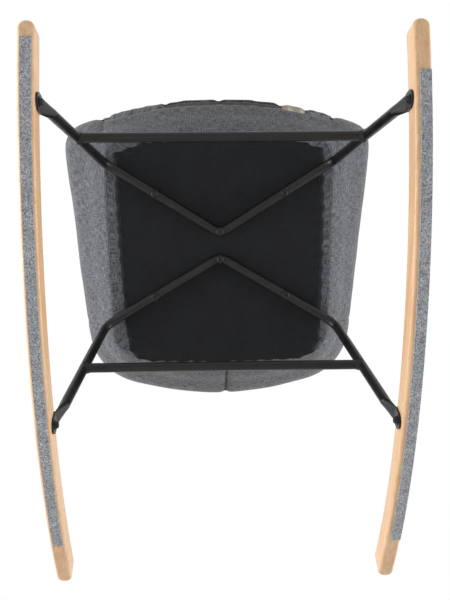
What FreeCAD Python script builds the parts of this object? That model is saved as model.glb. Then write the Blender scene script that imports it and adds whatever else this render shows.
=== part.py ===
"""Upholstered tub rocking chair: a parametric model in millimetres.

The chair is drawn in the frame of its seat: +Z square to the seat board, the front towards -Y, +X to the
sitter's left, and the origin on the centre plane of the leg tubes, midway between their two bends under the
seat. At the end every piece is pitched back and set on the floor, where the chair balances on its rockers:
+Z up, floor at z = 0, origin midway between the rockers' two points of contact.
"""
import FreeCAD, Part
import math
import os

import Sketcher

Vector = FreeCAD.Vector
TOUCH = 0.01  # how near two levels or directions must be to count as the same
doc = FreeCAD.newDocument("rocking_chair")

# ---------------------------------------------------------------- driving dimensions
DIMENSIONS = {
    # rest position
    "seat_pitch": 10.54,
    # rockers and their felt
    "rocker_spacing": 560.0,
    "rocker_width": 24.0,
    "rocker_depth": 38.0,
    "arc_radius": 1108.0,
    "arc_centre_back": -46.0,
    "arc_centre_up": 757.0,
    "rocker_front_angle": 14.6,
    "rocker_rear_angle": 32.4,
    "rocker_edge_radius": 4.5,
    "rocker_tip_radius": 11.0,
    "rocker_tip_flat": 1.0,
    "felt_width": 15.5,
    "felt_thickness": 3.0,
    "felt_left_offset": -0.4,
    "felt_right_offset": 2.6,
    "felt_left_front_angle": 13.3,
    "felt_right_front_angle": 10.8,
    "felt_rear_angle": 27.1,
    # bent steel tubes
    "tube_diameter": 16.0,
    "tube_wall": 1.8,
    "front_foot_angle": 9.0,
    "rear_foot_angle": 15.5,
    "front_bend_side": 204.0,
    "rear_bend_side": 209.0,
    "front_bend_reach": 148.0,
    "rear_bend_reach": 144.0,
    "middle_bend_reach": 21.0,
    "leg_bend_radius": 30.0,
    "middle_bend_radius": 22.0,
    "spade_width": 26.0,
    "spade_thickness": 3.2,
    "spade_length": 17.0,
    "flare_length": 34.0,
    "crossbar_share": 0.52,
    "weld_throat": 1.6,
    # fasteners
    "bolt_diameter": 6.0,
    "bolt_clearance": 0.25,
    "bolt_head_diameter": 12.0,
    "bolt_head_height": 4.0,
    "bolt_socket_width": 4.0,
    "bolt_socket_floor": 1.6,
    "bolt_length": 20.0,
    "washer_diameter": 15.0,
    "washer_thickness": 1.2,
    "insert_diameter": 9.0,
    "insert_length": 16.0,
    "insert_hole_spare": 3.0,
    "side_screw_share": 0.567,
    "screw_head_diameter": 12.5,
    "screw_head_height": 4.2,
    "screw_head_rounding": 2.5,
    "screw_slot_width": 1.8,
    "saddle_diameter": 15.0,
    "saddle_thickness": 2.2,
    "tee_nut_barrel": 8.5,
    "tee_nut_flange": 18.0,
    "tee_nut_flange_thickness": 1.6,
    "tee_nut_cover": 2.0,
    # seat board and dust cover
    "dust_cover_thickness": 1.0,
    "dust_cover_margin": 9.0,
    "board_thickness": 18.0,
    "staple_pitch": 27.0,
    "staple_crown": 10.0,
    "staple_wire": 0.9,
    "staple_leg": 8.0,
    "staple_inset": 8.0,
    # tub, level by level: seat board, widest level of the bowl, front of the arms, top of the back
    "bowl_level": 84.0,
    "arm_level": 230.0,
    "crown_rise": 9.0,
    "board_half_front": 199.0,
    "board_half_rear": 190.0,
    "board_front": 194.0,
    "board_rear": 222.0,
    "bowl_half_front": 288.0,
    "bowl_half_rear": 240.0,
    "bowl_front": 268.0,
    "bowl_rear": 290.0,
    "arm_half_front": 308.0,
    "arm_half_rear": 252.0,
    "arm_front": 262.0,
    "arm_rear": 318.0,
    "crest_half_front": 300.0,
    "crest_half_rear": 238.0,
    "crest_front": 236.0,
    "crest_rear": 352.0,
    "front_bow": 50.0,
    "board_front_bow": 12.5,
    "rear_bow": 34.0,
    "front_corner": 34.0,
    "rear_corner": 84.0,
    "board_corner": 30.0,
    "smallest_corner": 6.0,
    "front_clearance": 160.0,
    # top edge of the arms and back, in side view
    "arm_front_height": 222.0,
    "arm_rear_height": 236.0,
    "back_height": 452.0,
    "arm_sweep_start": 10.0,
    "back_sweep_end": 270.0,
    "arm_sweep_pull": 121.3,
    "arm_sweep_lift": 8.0,
    "back_sweep_pull": 130.0,
    "back_sweep_drop": 10.0,
    # walls
    "cover_thickness": 2.0,
    "panel_thickness": 9.0,
    "panel_edge_gap": 22.0,
    "wall_at_board": 40.0,
    "wall_at_bowl": 76.0,
    "wall_at_arm": 68.0,
    "wall_at_crest": 58.0,
    "back_split": 150.0,
    "rail_height": 52.0,
    "rail_depth": 26.0,
    "seat_foam_height": 66.0,
}

sheet = doc.addObject("Spreadsheet::Sheet", "Dimensions")
for row, (name, value) in enumerate(DIMENSIONS.items(), start=1):
    sheet.set(f"A{row}", name)
    sheet.set(f"B{row}", str(value))
    sheet.setAlias(f"B{row}", name)
doc.recompute()


def size(name):
    """Return one driving dimension from the sheet as a plain number."""
    return float(sheet.get(name))


# ---------------------------------------------------------------- rest position
def rest_placement():
    """Return the placement that pitches the chair back and stands its rockers on the floor."""
    turn = FreeCAD.Rotation(Vector(1, 0, 0), -size("seat_pitch"))
    centre = turn.multVec(Vector(0, size("arc_centre_back"), size("arc_centre_up")))
    outer_radius = size("arc_radius") + size("felt_thickness")
    return FreeCAD.Placement(Vector(0, -centre.y, outer_radius - centre.z), turn)


REST = rest_placement()
SUBPARTS = []


def keep(item, label):
    """Label a finished sub-part, put it at its rest position and list it for export."""
    item.Label = label
    item.Placement = REST.multiply(item.Placement)
    SUBPARTS.append(item)
    return item


def add_shape(label, shape):
    """Keep a sub-part whose shape comes from Part's own functions."""
    item = doc.addObject("Part::Feature", label)
    item.Shape = shape
    item.Placement = REST
    item.Label = label
    SUBPARTS.append(item)
    return item


def group_solids(label, shapes):
    """Keep a set of identical loose pieces as one sub-part of separate solids."""
    return add_shape(label, Part.makeCompound(shapes))


# ---------------------------------------------------------------- rockers and felt
def arc_point(radius, angle, across=0.0):
    """Return the point on a circle about the rockers' centre, angle in degrees behind straight down."""
    turn = math.radians(angle)
    return Vector(
        across,
        size("arc_centre_back") + radius * math.sin(turn),
        size("arc_centre_up") - radius * math.cos(turn),
    )


def bent_bar(label, across, width, outer, depth, front_angle, rear_angle):
    """Build a PartDesign bar bent to an arc: a sketch in side view, padded to both sides of its plane.

    across, width, outer and depth are expressions on the sheet's aliases, and so are the two angles.
    """
    body = doc.addObject("PartDesign::Body", label)
    sketch = body.newObject("Sketcher::SketchObject", label + "_side_view")
    plane = [f for f in body.Origin.OriginFeatures if f.Role == "YZ_Plane"][0]
    sketch.AttachmentSupport = (plane, [""])
    sketch.MapMode = "FlatFace"
    sketch.setExpression("AttachmentOffset.Base.z", across)
    # the geometry starts at the rocker's own sizes, and the expressions below then set it
    turns = {name: math.radians(size(f"rocker_{name}_angle")) for name in ("front", "rear")}
    outer_radius = size("arc_radius")
    inner_radius = outer_radius - size("rocker_depth")
    centre = Vector(size("arc_centre_back"), size("arc_centre_up"), 0)
    normal = Vector(0, 0, 1)
    straight_down = -math.pi / 2
    start = straight_down - turns["front"]
    end = straight_down + turns["rear"]
    low = sketch.addGeometry(Part.ArcOfCircle(Part.Circle(centre, normal, outer_radius), start, end))
    high = sketch.addGeometry(Part.ArcOfCircle(Part.Circle(centre, normal, inner_radius), start, end))

    def at(radius, angle):
        return centre + Vector(radius * math.cos(angle), radius * math.sin(angle), 0)

    ends = [
        sketch.addGeometry(Part.LineSegment(at(outer_radius, angle), at(inner_radius, angle)))
        for angle in (start, end)
    ]
    add = sketch.addConstraint
    add(Sketcher.Constraint("Coincident", low, 3, high, 3))
    back_at = add(Sketcher.Constraint("DistanceX", -1, 1, low, 3, centre.x))
    sketch.setExpression(f"Constraints[{back_at}]", "Dimensions.arc_centre_back")
    up_at = add(Sketcher.Constraint("DistanceY", -1, 1, low, 3, centre.y))
    sketch.setExpression(f"Constraints[{up_at}]", "Dimensions.arc_centre_up")
    radius_at = add(Sketcher.Constraint("Radius", low, outer_radius))
    sketch.setExpression(f"Constraints[{radius_at}]", outer)
    inner_at = add(Sketcher.Constraint("Radius", high, inner_radius))
    sketch.setExpression(f"Constraints[{inner_at}]", f"{outer} - {depth}")
    # spokes from the arcs' centre to the two ends of the lower arc carry the end angles
    spokes = []
    for point, angle in ((1, start), (2, end)):
        spoke = sketch.addGeometry(Part.LineSegment(centre, at(outer_radius, angle)), True)
        add(Sketcher.Constraint("Coincident", spoke, 1, low, 3))
        add(Sketcher.Constraint("Coincident", spoke, 2, low, point))
        add(Sketcher.Constraint("PointOnObject", high, point, spoke))
        spokes.append(spoke)
    drop = sketch.addGeometry(Part.LineSegment(centre, centre - Vector(0, inner_radius, 0)), True)
    add(Sketcher.Constraint("Coincident", drop, 1, low, 3))
    add(Sketcher.Constraint("Vertical", drop))
    add(Sketcher.Constraint("DistanceY", drop, 2, drop, 1, inner_radius))
    for spoke, angle, name in ((spokes[0], front_angle, "front"), (spokes[1], rear_angle, "rear")):
        first, second = (spoke, drop) if name == "front" else (drop, spoke)
        angle_at = add(Sketcher.Constraint("Angle", first, 1, second, 1, turns[name]))
        sketch.setExpression(f"Constraints[{angle_at}]", f"{angle} * 1 deg")
    for point, line in enumerate(ends, start=1):
        add(Sketcher.Constraint("Coincident", line, 1, low, point))
        add(Sketcher.Constraint("Coincident", line, 2, high, point))
    pad = body.newObject("PartDesign::Pad", label + "_pad")
    pad.Profile = sketch
    pad.Midplane = True
    pad.setExpression("Length", width)
    body.Tip = pad
    doc.recompute()
    return body


def fastener_frame(place, outward):
    """Return a placement whose +Z points along outward, for a fastener built head up along +Z."""
    return FreeCAD.Placement(place, FreeCAD.Rotation(Vector(0, 0, 1), outward))


def part_object(kind, name, **expressions):
    """Add a Part primitive and bind its sizes to expressions on the sheet's aliases."""
    item = doc.addObject(kind, name)
    for key, expression in expressions.items():
        item.setExpression(key, expression)
    return item


def boolean(kind, name, base, tools):
    """Add a Part fuse or cut of hidden pieces in the seat frame."""
    item = doc.addObject(kind, name)
    if kind == "Part::Cut":
        item.Base = base
        item.Tool = tools
    else:
        item.Shapes = [base] + tools
    return item


def copies_at(label, master, placements):
    """Keep one sub-part made of a master piece repeated at several placements."""
    placed = []
    for number, placement in enumerate(placements, start=1):
        copy = doc.addObject("Part::Compound", f"{label}_{number}")
        copy.Links = [master]
        copy.Placement = placement
        placed.append(copy)
    group = doc.addObject("Part::Compound", label)
    group.Links = placed
    return keep(group, label)


# ---------------------------------------------------------------- where the feet bolt to the rockers
SIDES = (("left", -1), ("right", 1))


def rocker_inner_face():
    """Return how far the rockers' inner faces stand from the middle of the chair."""
    return size("rocker_spacing") / 2 - size("rocker_width")


def foot_point(end, sign):
    """Return the centre of one foot's bolt on the rocker's inner face; end is front or rear."""
    angle = -size("front_foot_angle") if end == "front" else size("rear_foot_angle")
    middle = size("arc_radius") - size("rocker_depth") / 2
    return arc_point(middle, angle, sign * rocker_inner_face())


FEET = [(end, sign, foot_point(end, sign)) for end in ("front", "rear") for _, sign in SIDES]


def build_rockers():
    """Build both rockers with eased long edges and blind holes for the threaded inserts."""
    for side, sign in SIDES:
        body = bent_bar(
            f"rocker_{side}_bar",
            f"{sign} * (Dimensions.rocker_spacing - Dimensions.rocker_width) / 2",
            "Dimensions.rocker_width",
            "Dimensions.arc_radius",
            "Dimensions.rocker_depth",
            "Dimensions.rocker_front_angle",
            "Dimensions.rocker_rear_angle",
        )
        pad = body.Tip
        corners = [f"Edge{i}" for i, e in enumerate(pad.Shape.Edges, start=1) if is_end_corner(e)]
        tips = body.newObject("PartDesign::Fillet", f"rocker_{side}_rounded_tips")
        tips.Base = (pad, corners)
        tips.setExpression(
            "Radius",
            "min(Dimensions.rocker_tip_radius; Dimensions.rocker_width / 2 - Dimensions.rocker_tip_flat)",
        )
        body.Tip = tips
        doc.recompute()
        faces = [f"Face{i}" for i, f in enumerate(tips.Shape.Faces, start=1) if is_bent_face(f)]
        eased = body.newObject("PartDesign::Fillet", f"rocker_{side}_eased_edges")
        eased.Base = (tips, faces)
        eased.setExpression("Radius", "Dimensions.rocker_edge_radius")
        body.Tip = eased
        holes = []
        for end, foot_sign, foot in FEET:
            if foot_sign == sign:
                hole = part_object(
                    "Part::Cylinder",
                    f"insert_hole_{side}_{end}",
                    Radius="Dimensions.insert_diameter / 2",
                    Height="Dimensions.insert_length + Dimensions.insert_hole_spare",
                )
                hole.Placement = fastener_frame(foot, Vector(sign, 0, 0))
                holes.append(hole)
        drilled = boolean("Part::Cut", f"rocker_{side}_front_hole", body, holes[0])
        keep(boolean("Part::Cut", f"rocker_{side}", drilled, holes[1]), f"rocker_{side}")


def is_end_corner(edge):
    """Tell whether an edge is one of a rocker's four straight corners, at its two ends."""
    ends = [vertex.Point for vertex in edge.Vertexes]
    return abs(ends[0].x - ends[1].x) < TOUCH and abs(edge.Length - size("rocker_depth")) < TOUCH


def is_bent_face(face):
    """Tell whether a face is the long bent underside or top of a rocker."""
    return isinstance(face.Surface, Part.Cylinder) and face.Surface.Radius > size("rocker_depth")


def build_felt_strips():
    """Build the felt strips glued under the rockers, which are what stands on the floor."""
    for side, sign in SIDES:
        body = bent_bar(
            f"felt_strip_{side}",
            f"{sign} * ((Dimensions.rocker_spacing - Dimensions.rocker_width) / 2"
            f" + Dimensions.felt_{side}_offset)",
            "Dimensions.felt_width",
            "Dimensions.arc_radius + Dimensions.felt_thickness",
            "Dimensions.felt_thickness",
            f"Dimensions.felt_{side}_front_angle",
            "Dimensions.felt_rear_angle",
        )
        keep(body, f"felt_strip_{side}")


# ---------------------------------------------------------------- bent steel tubes
def rounded_path(points, radii):
    """Return a wire of straight runs through points, each inner corner rounded by a tangent arc."""
    edges = []
    start = points[0]
    for before, corner, after, radius in zip(points, points[1:], points[2:], radii):
        back = (before - corner).normalize()
        onward = (after - corner).normalize()
        half_angle = back.getAngle(onward) / 2
        run = radius / math.tan(half_angle)
        middle_way = (back + onward).normalize()
        depth = radius / math.sin(half_angle) - radius
        arc = Part.Arc(corner + back * run, corner + middle_way * depth, corner + onward * run)
        edges.append(Part.LineSegment(start, corner + back * run).toShape())
        edges.append(arc.toShape())
        start = corner + onward * run
    edges.append(Part.LineSegment(start, points[-1]).toShape())
    return Part.Wire(edges)


def round_bar(points, radii, diameter):
    """Return a solid round bar swept along a rounded path."""
    path = rounded_path(points, radii)
    direction = (points[1] - points[0]).normalize()
    ring = Part.Wire([Part.Circle(points[0], direction, diameter / 2).toShape()])
    return path.makePipeShell([ring], True, False)


def leg_points(end):
    """Return one leg tube's corner points from the left foot to the right, at the tube's centre."""
    bend_side = size(f"{end}_bend_side")
    out = -1 if end == "front" else 1
    bend_reach = out * size(f"{end}_bend_reach")
    inward = size("spade_thickness") / 2
    left = foot_point(end, -1) + Vector(inward, 0, 0)
    right = foot_point(end, 1) - Vector(inward, 0, 0)
    middle = Vector(0, out * size("middle_bend_reach"), 0)
    return [left, Vector(-bend_side, bend_reach, 0), middle, Vector(bend_side, bend_reach, 0), right]


def flare_ends(foot, bend):
    """Return where a leg's flat spade ends and where its full round tube begins."""
    along = (bend - foot).normalize()
    return foot + along * size("spade_length"), foot + along * (size("spade_length") + size("flare_length"))


def spade(foot, bend):
    """Return a leg's flattened foot: a flat round-ended spade and the flare up to the round tube."""
    half_width = size("spade_width") / 2
    thickness = size("spade_thickness")
    flat_end, round_start = flare_ends(foot, bend)
    upward = Vector(0, flat_end.y - foot.y, flat_end.z - foot.z).normalize()
    across = Vector(1, 0, 0).cross(upward)
    face = foot - Vector(thickness / 2, 0, 0)
    top = upward * (flat_end - foot).dot(upward)
    low_left = face - across * half_width
    low_right = face + across * half_width
    outline = Part.Wire([
        Part.Arc(low_left, face - upward * half_width, low_right).toShape(),
        Part.LineSegment(low_right, low_right + top).toShape(),
        Part.LineSegment(low_right + top, low_left + top).toShape(),
        Part.LineSegment(low_left + top, low_left).toShape(),
    ])
    plate = Part.Face(outline).extrude(Vector(thickness, 0, 0))
    middle = foot + top
    flat = Part.Ellipse(middle + across * half_width, middle + Vector(thickness / 2, 0, 0), middle)
    tube = Part.Circle(round_start, (bend - foot).normalize(), size("tube_diameter") / 2)
    tube_ring = tube.toShape()
    tube_ring.rotate(round_start, (bend - foot).normalize(), ring_turn(tube, round_start, across))
    flare = Part.makeLoft([Part.Wire([flat.toShape()]), Part.Wire([tube_ring])], True, True)
    return plate.fuse(flare)


def ring_turn(circle, centre, across):
    """Return how far a circle is turned about its axis so that it starts in the given direction."""
    start = circle.value(0) - centre
    flat_across = across - circle.Axis * across.dot(circle.Axis)
    turn = math.degrees(start.getAngle(flat_across))
    return turn if start.cross(flat_across).dot(circle.Axis) > 0 else -turn


def middle_screw_point(end):
    """Return where the middle bend's centre line passes, which is where its screw goes."""
    points = leg_points(end)
    corner = points[2]
    back = (points[1] - corner).normalize()
    onward = (points[3] - corner).normalize()
    half_angle = back.getAngle(onward) / 2
    radius = size("middle_bend_radius")
    return corner + (back + onward).normalize() * (radius / math.sin(half_angle) - radius)


def seat_screw_points(end):
    """Return the three points where a leg tube is screwed to the seat board."""
    points = leg_points(end)
    left, middle, right = points[1:4]
    share = size("side_screw_share")
    return [middle + (left - middle) * share, middle_screw_point(end), middle + (right - middle) * share]


def upright_cylinder(point, diameter, low, high):
    """Return a cylinder square to the seat through a point, between two levels."""
    return Part.makeCylinder(diameter / 2, high - low, Vector(point.x, point.y, low))


LEGS = {}


def leg_solid(end):
    """Return a leg tube's outer form: the bent bar and its two flattened feet."""
    points = leg_points(end)
    radii = [size("leg_bend_radius"), size("middle_bend_radius"), size("leg_bend_radius")]
    starts = [flare_ends(points[0], points[1])[1], flare_ends(points[4], points[3])[1]]
    bar = round_bar([starts[0]] + points[1:4] + [starts[1]], radii, size("tube_diameter"))
    return bar.fuse([spade(points[0], points[1]), spade(points[4], points[3])]).removeSplitter()


def build_leg_tubes():
    """Build the front and the rear leg tube, hollow, with holes for the seat screws and foot bolts."""
    clear = size("bolt_diameter") + 2 * size("bolt_clearance")
    bore = size("tube_diameter") - 2 * size("tube_wall")
    radii = [size("leg_bend_radius"), size("middle_bend_radius"), size("leg_bend_radius")]
    for end in ("front", "rear"):
        points = leg_points(end)
        starts = [flare_ends(points[0], points[1])[1], flare_ends(points[4], points[3])[1]]
        hollow = round_bar([starts[0]] + points[1:4] + [starts[1]], radii, bore)
        cuts = [hollow]
        for point in seat_screw_points(end):
            cuts.append(upright_cylinder(point, clear, -size("tube_diameter"), size("tube_diameter")))
        for foot_end, sign, foot in FEET:
            if foot_end == end:
                start = foot - Vector(sign * size("tube_diameter"), 0, 0)
                cuts.append(Part.makeCylinder(clear / 2, size("tube_diameter"), start, Vector(sign, 0, 0)))
        LEGS[end] = leg_solid(end)
        add_shape(f"{end}_leg_tube", LEGS[end].cut(cuts))


def crossbar_points(end):
    """Return the two points on a pair of legs that a crossbar joins."""
    points = leg_points(end)
    share = size("crossbar_share")
    return points[0] + (points[1] - points[0]) * share, points[4] + (points[3] - points[4]) * share


def build_crossbars():
    """Build the two straight crossbars, their ends cut to fit round the legs, and the welds there."""
    welds = []
    for end in ("front", "rear"):
        left, right = crossbar_points(end)
        legs = doc.addObject("Part::Feature", f"{end}_leg_envelope")
        legs.Shape = LEGS[end]
        bar = part_object("Part::Cylinder", f"{end}_crossbar_stock", Radius="Dimensions.tube_diameter / 2")
        bar.Height = right.x - left.x
        bar.Placement = fastener_frame(left, Vector(1, 0, 0))
        bore = part_object(
            "Part::Cylinder", f"{end}_crossbar_bore",
            Radius="Dimensions.tube_diameter / 2 - Dimensions.tube_wall",
        )
        bore.Height = right.x - left.x
        bore.Placement = bar.Placement
        tools = doc.addObject("Part::Compound", f"{end}_crossbar_cuts")
        tools.Links = [bore, legs]
        keep(boolean("Part::Cut", f"{end}_crossbar", bar, tools), f"{end}_crossbar")
        stock = Part.makeCylinder(size("tube_diameter") / 2, right.x - left.x, left, Vector(1, 0, 0))
        for point, inward in ((left, 1), (right, -1)):
            welds.append(weld_bead(point, inward).cut([LEGS[end], stock]))
    group_solids("crossbar_welds", welds)


def weld_bead(point, inward):
    """Return the rough cone of one weld, from inside the leg out along the crossbar."""
    radius = size("tube_diameter") / 2
    throat = size("weld_throat")
    return Part.makeCone(radius + 2 * throat, radius, radius + 2 * throat, point, Vector(inward, 0, 0))


# ---------------------------------------------------------------- fasteners
def build_foot_fasteners():
    """Build the foot bolts with their washers and the threaded inserts that hold them."""
    head_seat = "Dimensions.bolt_head_height"
    shank = part_object(
        "Part::Cylinder", "bolt_shank", Radius="Dimensions.bolt_diameter / 2",
        Height="Dimensions.bolt_length",
    )
    shank.setExpression("Placement.Base.z", "-Dimensions.bolt_length")
    head = part_object(
        "Part::Cone", "bolt_head", Radius1="Dimensions.bolt_head_diameter / 2",
        Radius2="Dimensions.bolt_head_diameter / 2 - Dimensions.bolt_head_height / 2", Height=head_seat,
    )
    solid = boolean("Part::MultiFuse", "bolt_blank", shank, [head])
    socket = part_object(
        "Part::Prism", "bolt_socket", Circumradius="Dimensions.bolt_socket_width / 2 / cos(30)",
        Height=head_seat,
    )
    socket.Polygon = 6
    socket.setExpression("Placement.Base.z", "Dimensions.bolt_socket_floor")
    bolt = boolean("Part::Cut", "bolt_master", solid, socket)
    ring = part_object(
        "Part::Cylinder", "washer_blank", Radius="Dimensions.washer_diameter / 2",
        Height="Dimensions.washer_thickness",
    )
    hole = part_object(
        "Part::Cylinder", "washer_hole", Radius="Dimensions.bolt_diameter / 2 + Dimensions.bolt_clearance",
        Height="Dimensions.washer_thickness",
    )
    washer = boolean("Part::Cut", "washer_master", ring, hole)
    body = part_object(
        "Part::Cylinder", "insert_blank", Radius="Dimensions.insert_diameter / 2",
        Height="Dimensions.insert_length",
    )
    thread = part_object(
        "Part::Cylinder", "insert_thread", Radius="Dimensions.bolt_diameter / 2",
        Height="Dimensions.insert_length",
    )
    insert = boolean("Part::Cut", "insert_master", body, thread)
    on_spade = size("spade_thickness")
    on_washer = on_spade + size("washer_thickness")
    inward = [(foot, Vector(-sign, 0, 0)) for _, sign, foot in FEET]
    copies_at("rocker_bolts", bolt, [fastener_frame(f + d * on_washer, d) for f, d in inward])
    copies_at("rocker_bolt_washers", washer, [fastener_frame(f + d * on_spade, d) for f, d in inward])
    copies_at("rocker_inserts", insert, [fastener_frame(f, d * -1) for f, d in inward])


def board_levels():
    """Return the levels of the seat board's underside and top."""
    under = size("tube_diameter") / 2 + size("dust_cover_thickness")
    return under, under + size("board_thickness")


def build_seat_screws():
    """Build the pan-head screws through the tubes, their saddle washers and the tee nuts in the board."""
    radius = size("tube_diameter") / 2
    clear = size("bolt_diameter") + 2 * size("bolt_clearance")
    seat_level = -radius - size("saddle_thickness") / 2
    under, top = board_levels()
    nut_low = under + size("tee_nut_cover")
    screws, saddles, nuts = [], [], []
    for end in ("front", "rear"):
        for point in seat_screw_points(end):
            shank = upright_cylinder(point, size("bolt_diameter"), seat_level, top)
            screws.append(pan_head(point, seat_level).fuse(shank).removeSplitter())
            blank = upright_cylinder(point, size("saddle_diameter"), seat_level, -radius / 2)
            saddles.append(blank.cut([LEGS[end], upright_cylinder(point, clear, seat_level, 0)]))
            barrel = upright_cylinder(point, size("tee_nut_barrel"), nut_low, top)
            flange = upright_cylinder(
                point, size("tee_nut_flange"), top - size("tee_nut_flange_thickness"), top
            )
            thread = upright_cylinder(point, size("bolt_diameter"), under, top)
            nuts.append(barrel.fuse(flange).cut(thread).removeSplitter())
    group_solids("seat_screws", screws)
    group_solids("seat_screw_saddles", saddles)
    group_solids("seat_tee_nuts", nuts)


def pan_head(point, level):
    """Return a domed pan head with a cross recess, hanging below a level."""
    radius = size("screw_head_diameter") / 2
    height = size("screw_head_height")
    disc = upright_cylinder(point, 2 * radius, level - height, level)
    rim = [edge for edge in disc.Edges if edge.BoundBox.ZMax < level - height + TOUCH]
    head = disc.makeFillet(size("screw_head_rounding"), rim)
    slot = size("screw_slot_width")
    low = Vector(point.x, point.y, level - height)
    bars = [
        Part.makeBox(radius, slot, height / 2, low - Vector(radius / 2, slot / 2, 0)),
        Part.makeBox(slot, radius, height / 2, low - Vector(slot / 2, radius / 2, 0)),
    ]
    return head.cut(bars)


# ---------------------------------------------------------------- the tub's plan at each level
LEVELS = ("board", "bowl", "arm", "crest")


def level_height(level):
    """Return a level's height above the leg tubes' centre plane."""
    if level == "board":
        return board_levels()[0]
    if level == "crest":
        return size("back_height") + 2 * size("crown_rise")
    return size(f"{level}_level")


def rounded_corner(corner, before, after, reach):
    """Return the tangent arc that rounds a corner, starting and ending reach away from it."""
    back = (before - corner).normalize()
    onward = (after - corner).normalize()
    half_angle = back.getAngle(onward) / 2
    radius = reach * math.tan(half_angle)
    middle = corner + (back + onward).normalize() * (radius / math.sin(half_angle) - radius)
    return Part.Arc(corner + back * reach, middle, corner + onward * reach)


def plan_wire(level, inset=0.0, open_front=False):
    """Return the tub's closed outline at a level, taken in from the outside by inset.

    open_front runs the two sides straight on past the front, for cutting the sitting space.
    """
    height = level_height(level)
    half_front = size(f"{level}_half_front") - inset
    half_rear = size(f"{level}_half_rear") - inset
    front = -(size(f"{level}_front") - inset)
    rear = size(f"{level}_rear") - inset
    front_bow = size("board_front_bow") if level == "board" else size("front_bow")
    rear_bow = size("rear_bow")
    front_corner = size("board_corner") if level == "board" else size("front_corner")
    rear_corner = size("board_corner") if level == "board" else size("rear_corner")
    if open_front:
        slope = (half_front - half_rear) / (rear - rear_bow - front - front_bow)
        half_front += slope * size("front_clearance")
        front -= size("front_clearance") + front_bow
        front_bow = 0.0
    front_left = Vector(-half_front, front + front_bow, height)
    front_right = Vector(half_front, front + front_bow, height)
    rear_left = Vector(-half_rear, rear - rear_bow, height)
    rear_right = Vector(half_rear, rear - rear_bow, height)
    front_middle = Vector(0, front, height)
    rear_middle = Vector(0, rear, height)
    front_cut = max(front_corner - inset, size("smallest_corner"))
    rear_cut = max(rear_corner - inset / 2, size("smallest_corner"))
    corners = [
        rounded_corner(front_right, front_middle, rear_right, front_cut),
        rounded_corner(rear_right, front_right, rear_middle, rear_cut),
        rounded_corner(rear_left, rear_middle, front_left, rear_cut),
        rounded_corner(front_left, rear_left, front_middle, front_cut),
    ]
    bows = [None, rear_middle, None, front_middle]
    edges = []
    for number, (arc, bow) in enumerate(zip(corners, bows)):
        following = corners[(number + 1) % 4]
        start = arc.toShape().Vertexes[1].Point
        stop = following.toShape().Vertexes[0].Point
        edges.append(arc.toShape())
        if bow is None or front_bow == 0.0 and bow is front_middle:
            edges.append(Part.LineSegment(start, stop).toShape())
        else:
            edges.append(Part.Arc(start, bow, stop).toShape())
    return Part.Wire(edges)


def tub_solid(inset):
    """Return the whole tub as one solid, taken in all round by inset."""
    return Part.makeLoft([plan_wire(level, inset) for level in LEVELS], True, True)


def sitting_space(grown=0.0):
    """Return the space between the walls, open to the front, grown into the walls by grown."""
    wires = [plan_wire(level, size(f"wall_at_{level}") - grown, True) for level in LEVELS]
    return Part.makeLoft(wires, True, True)


def far_reach():
    """Return a distance from the origin that lies outside every piece of the tub."""
    return 2 * level_height("crest")


def below_top_edge(drop=0.0):
    """Return everything below the top edge of the arms and back, lowered by drop."""
    reach = far_reach()
    front = -size("bowl_front")
    rear = size("crest_rear")
    arm_front = size("arm_front_height") - drop
    arm_rear = size("arm_rear_height") - drop
    back = size("back_height") - drop
    start = size("arm_sweep_start")
    end = size("back_sweep_end")
    crown = size("crown_rise")
    arm = Part.LineSegment(Vector(-reach, front, arm_front), Vector(-reach, start, arm_rear))
    sweep = Part.BezierCurve()
    sweep.setPoles([
        Vector(-reach, start, arm_rear),
        Vector(-reach, start + size("arm_sweep_pull"), arm_rear + size("arm_sweep_lift")),
        Vector(-reach, end - size("back_sweep_pull"), back - size("back_sweep_drop")),
        Vector(-reach, end, back),
    ])
    top = Part.LineSegment(Vector(-reach, end, back), Vector(-reach, rear + crown, back + crown))
    floor = 0.0
    corners = [
        Vector(-reach, rear + crown, back + crown),
        Vector(-reach, rear + crown, floor),
        Vector(-reach, front - size("front_clearance"), floor),
        Vector(-reach, front - size("front_clearance"), arm_front),
        Vector(-reach, front, arm_front),
    ]
    edges = [arm.toShape(), sweep.toShape(), top.toShape()]
    edges += [Part.LineSegment(a, b).toShape() for a, b in zip(corners, corners[1:])]
    return Part.Face(Part.Wire(edges)).extrude(Vector(2 * reach, 0, 0))


def part_of(shape, x=None, y=None, z=None):
    """Return what of a shape lies within the given low and high limits along each axis."""
    reach = far_reach()
    low = [-reach if limit is None or limit[0] is None else limit[0] for limit in (x, y, z)]
    high = [reach if limit is None or limit[1] is None else limit[1] for limit in (x, y, z)]
    box = Part.makeBox(high[0] - low[0], high[1] - low[1], high[2] - low[2], Vector(*low))
    return shape.common(box)


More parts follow.
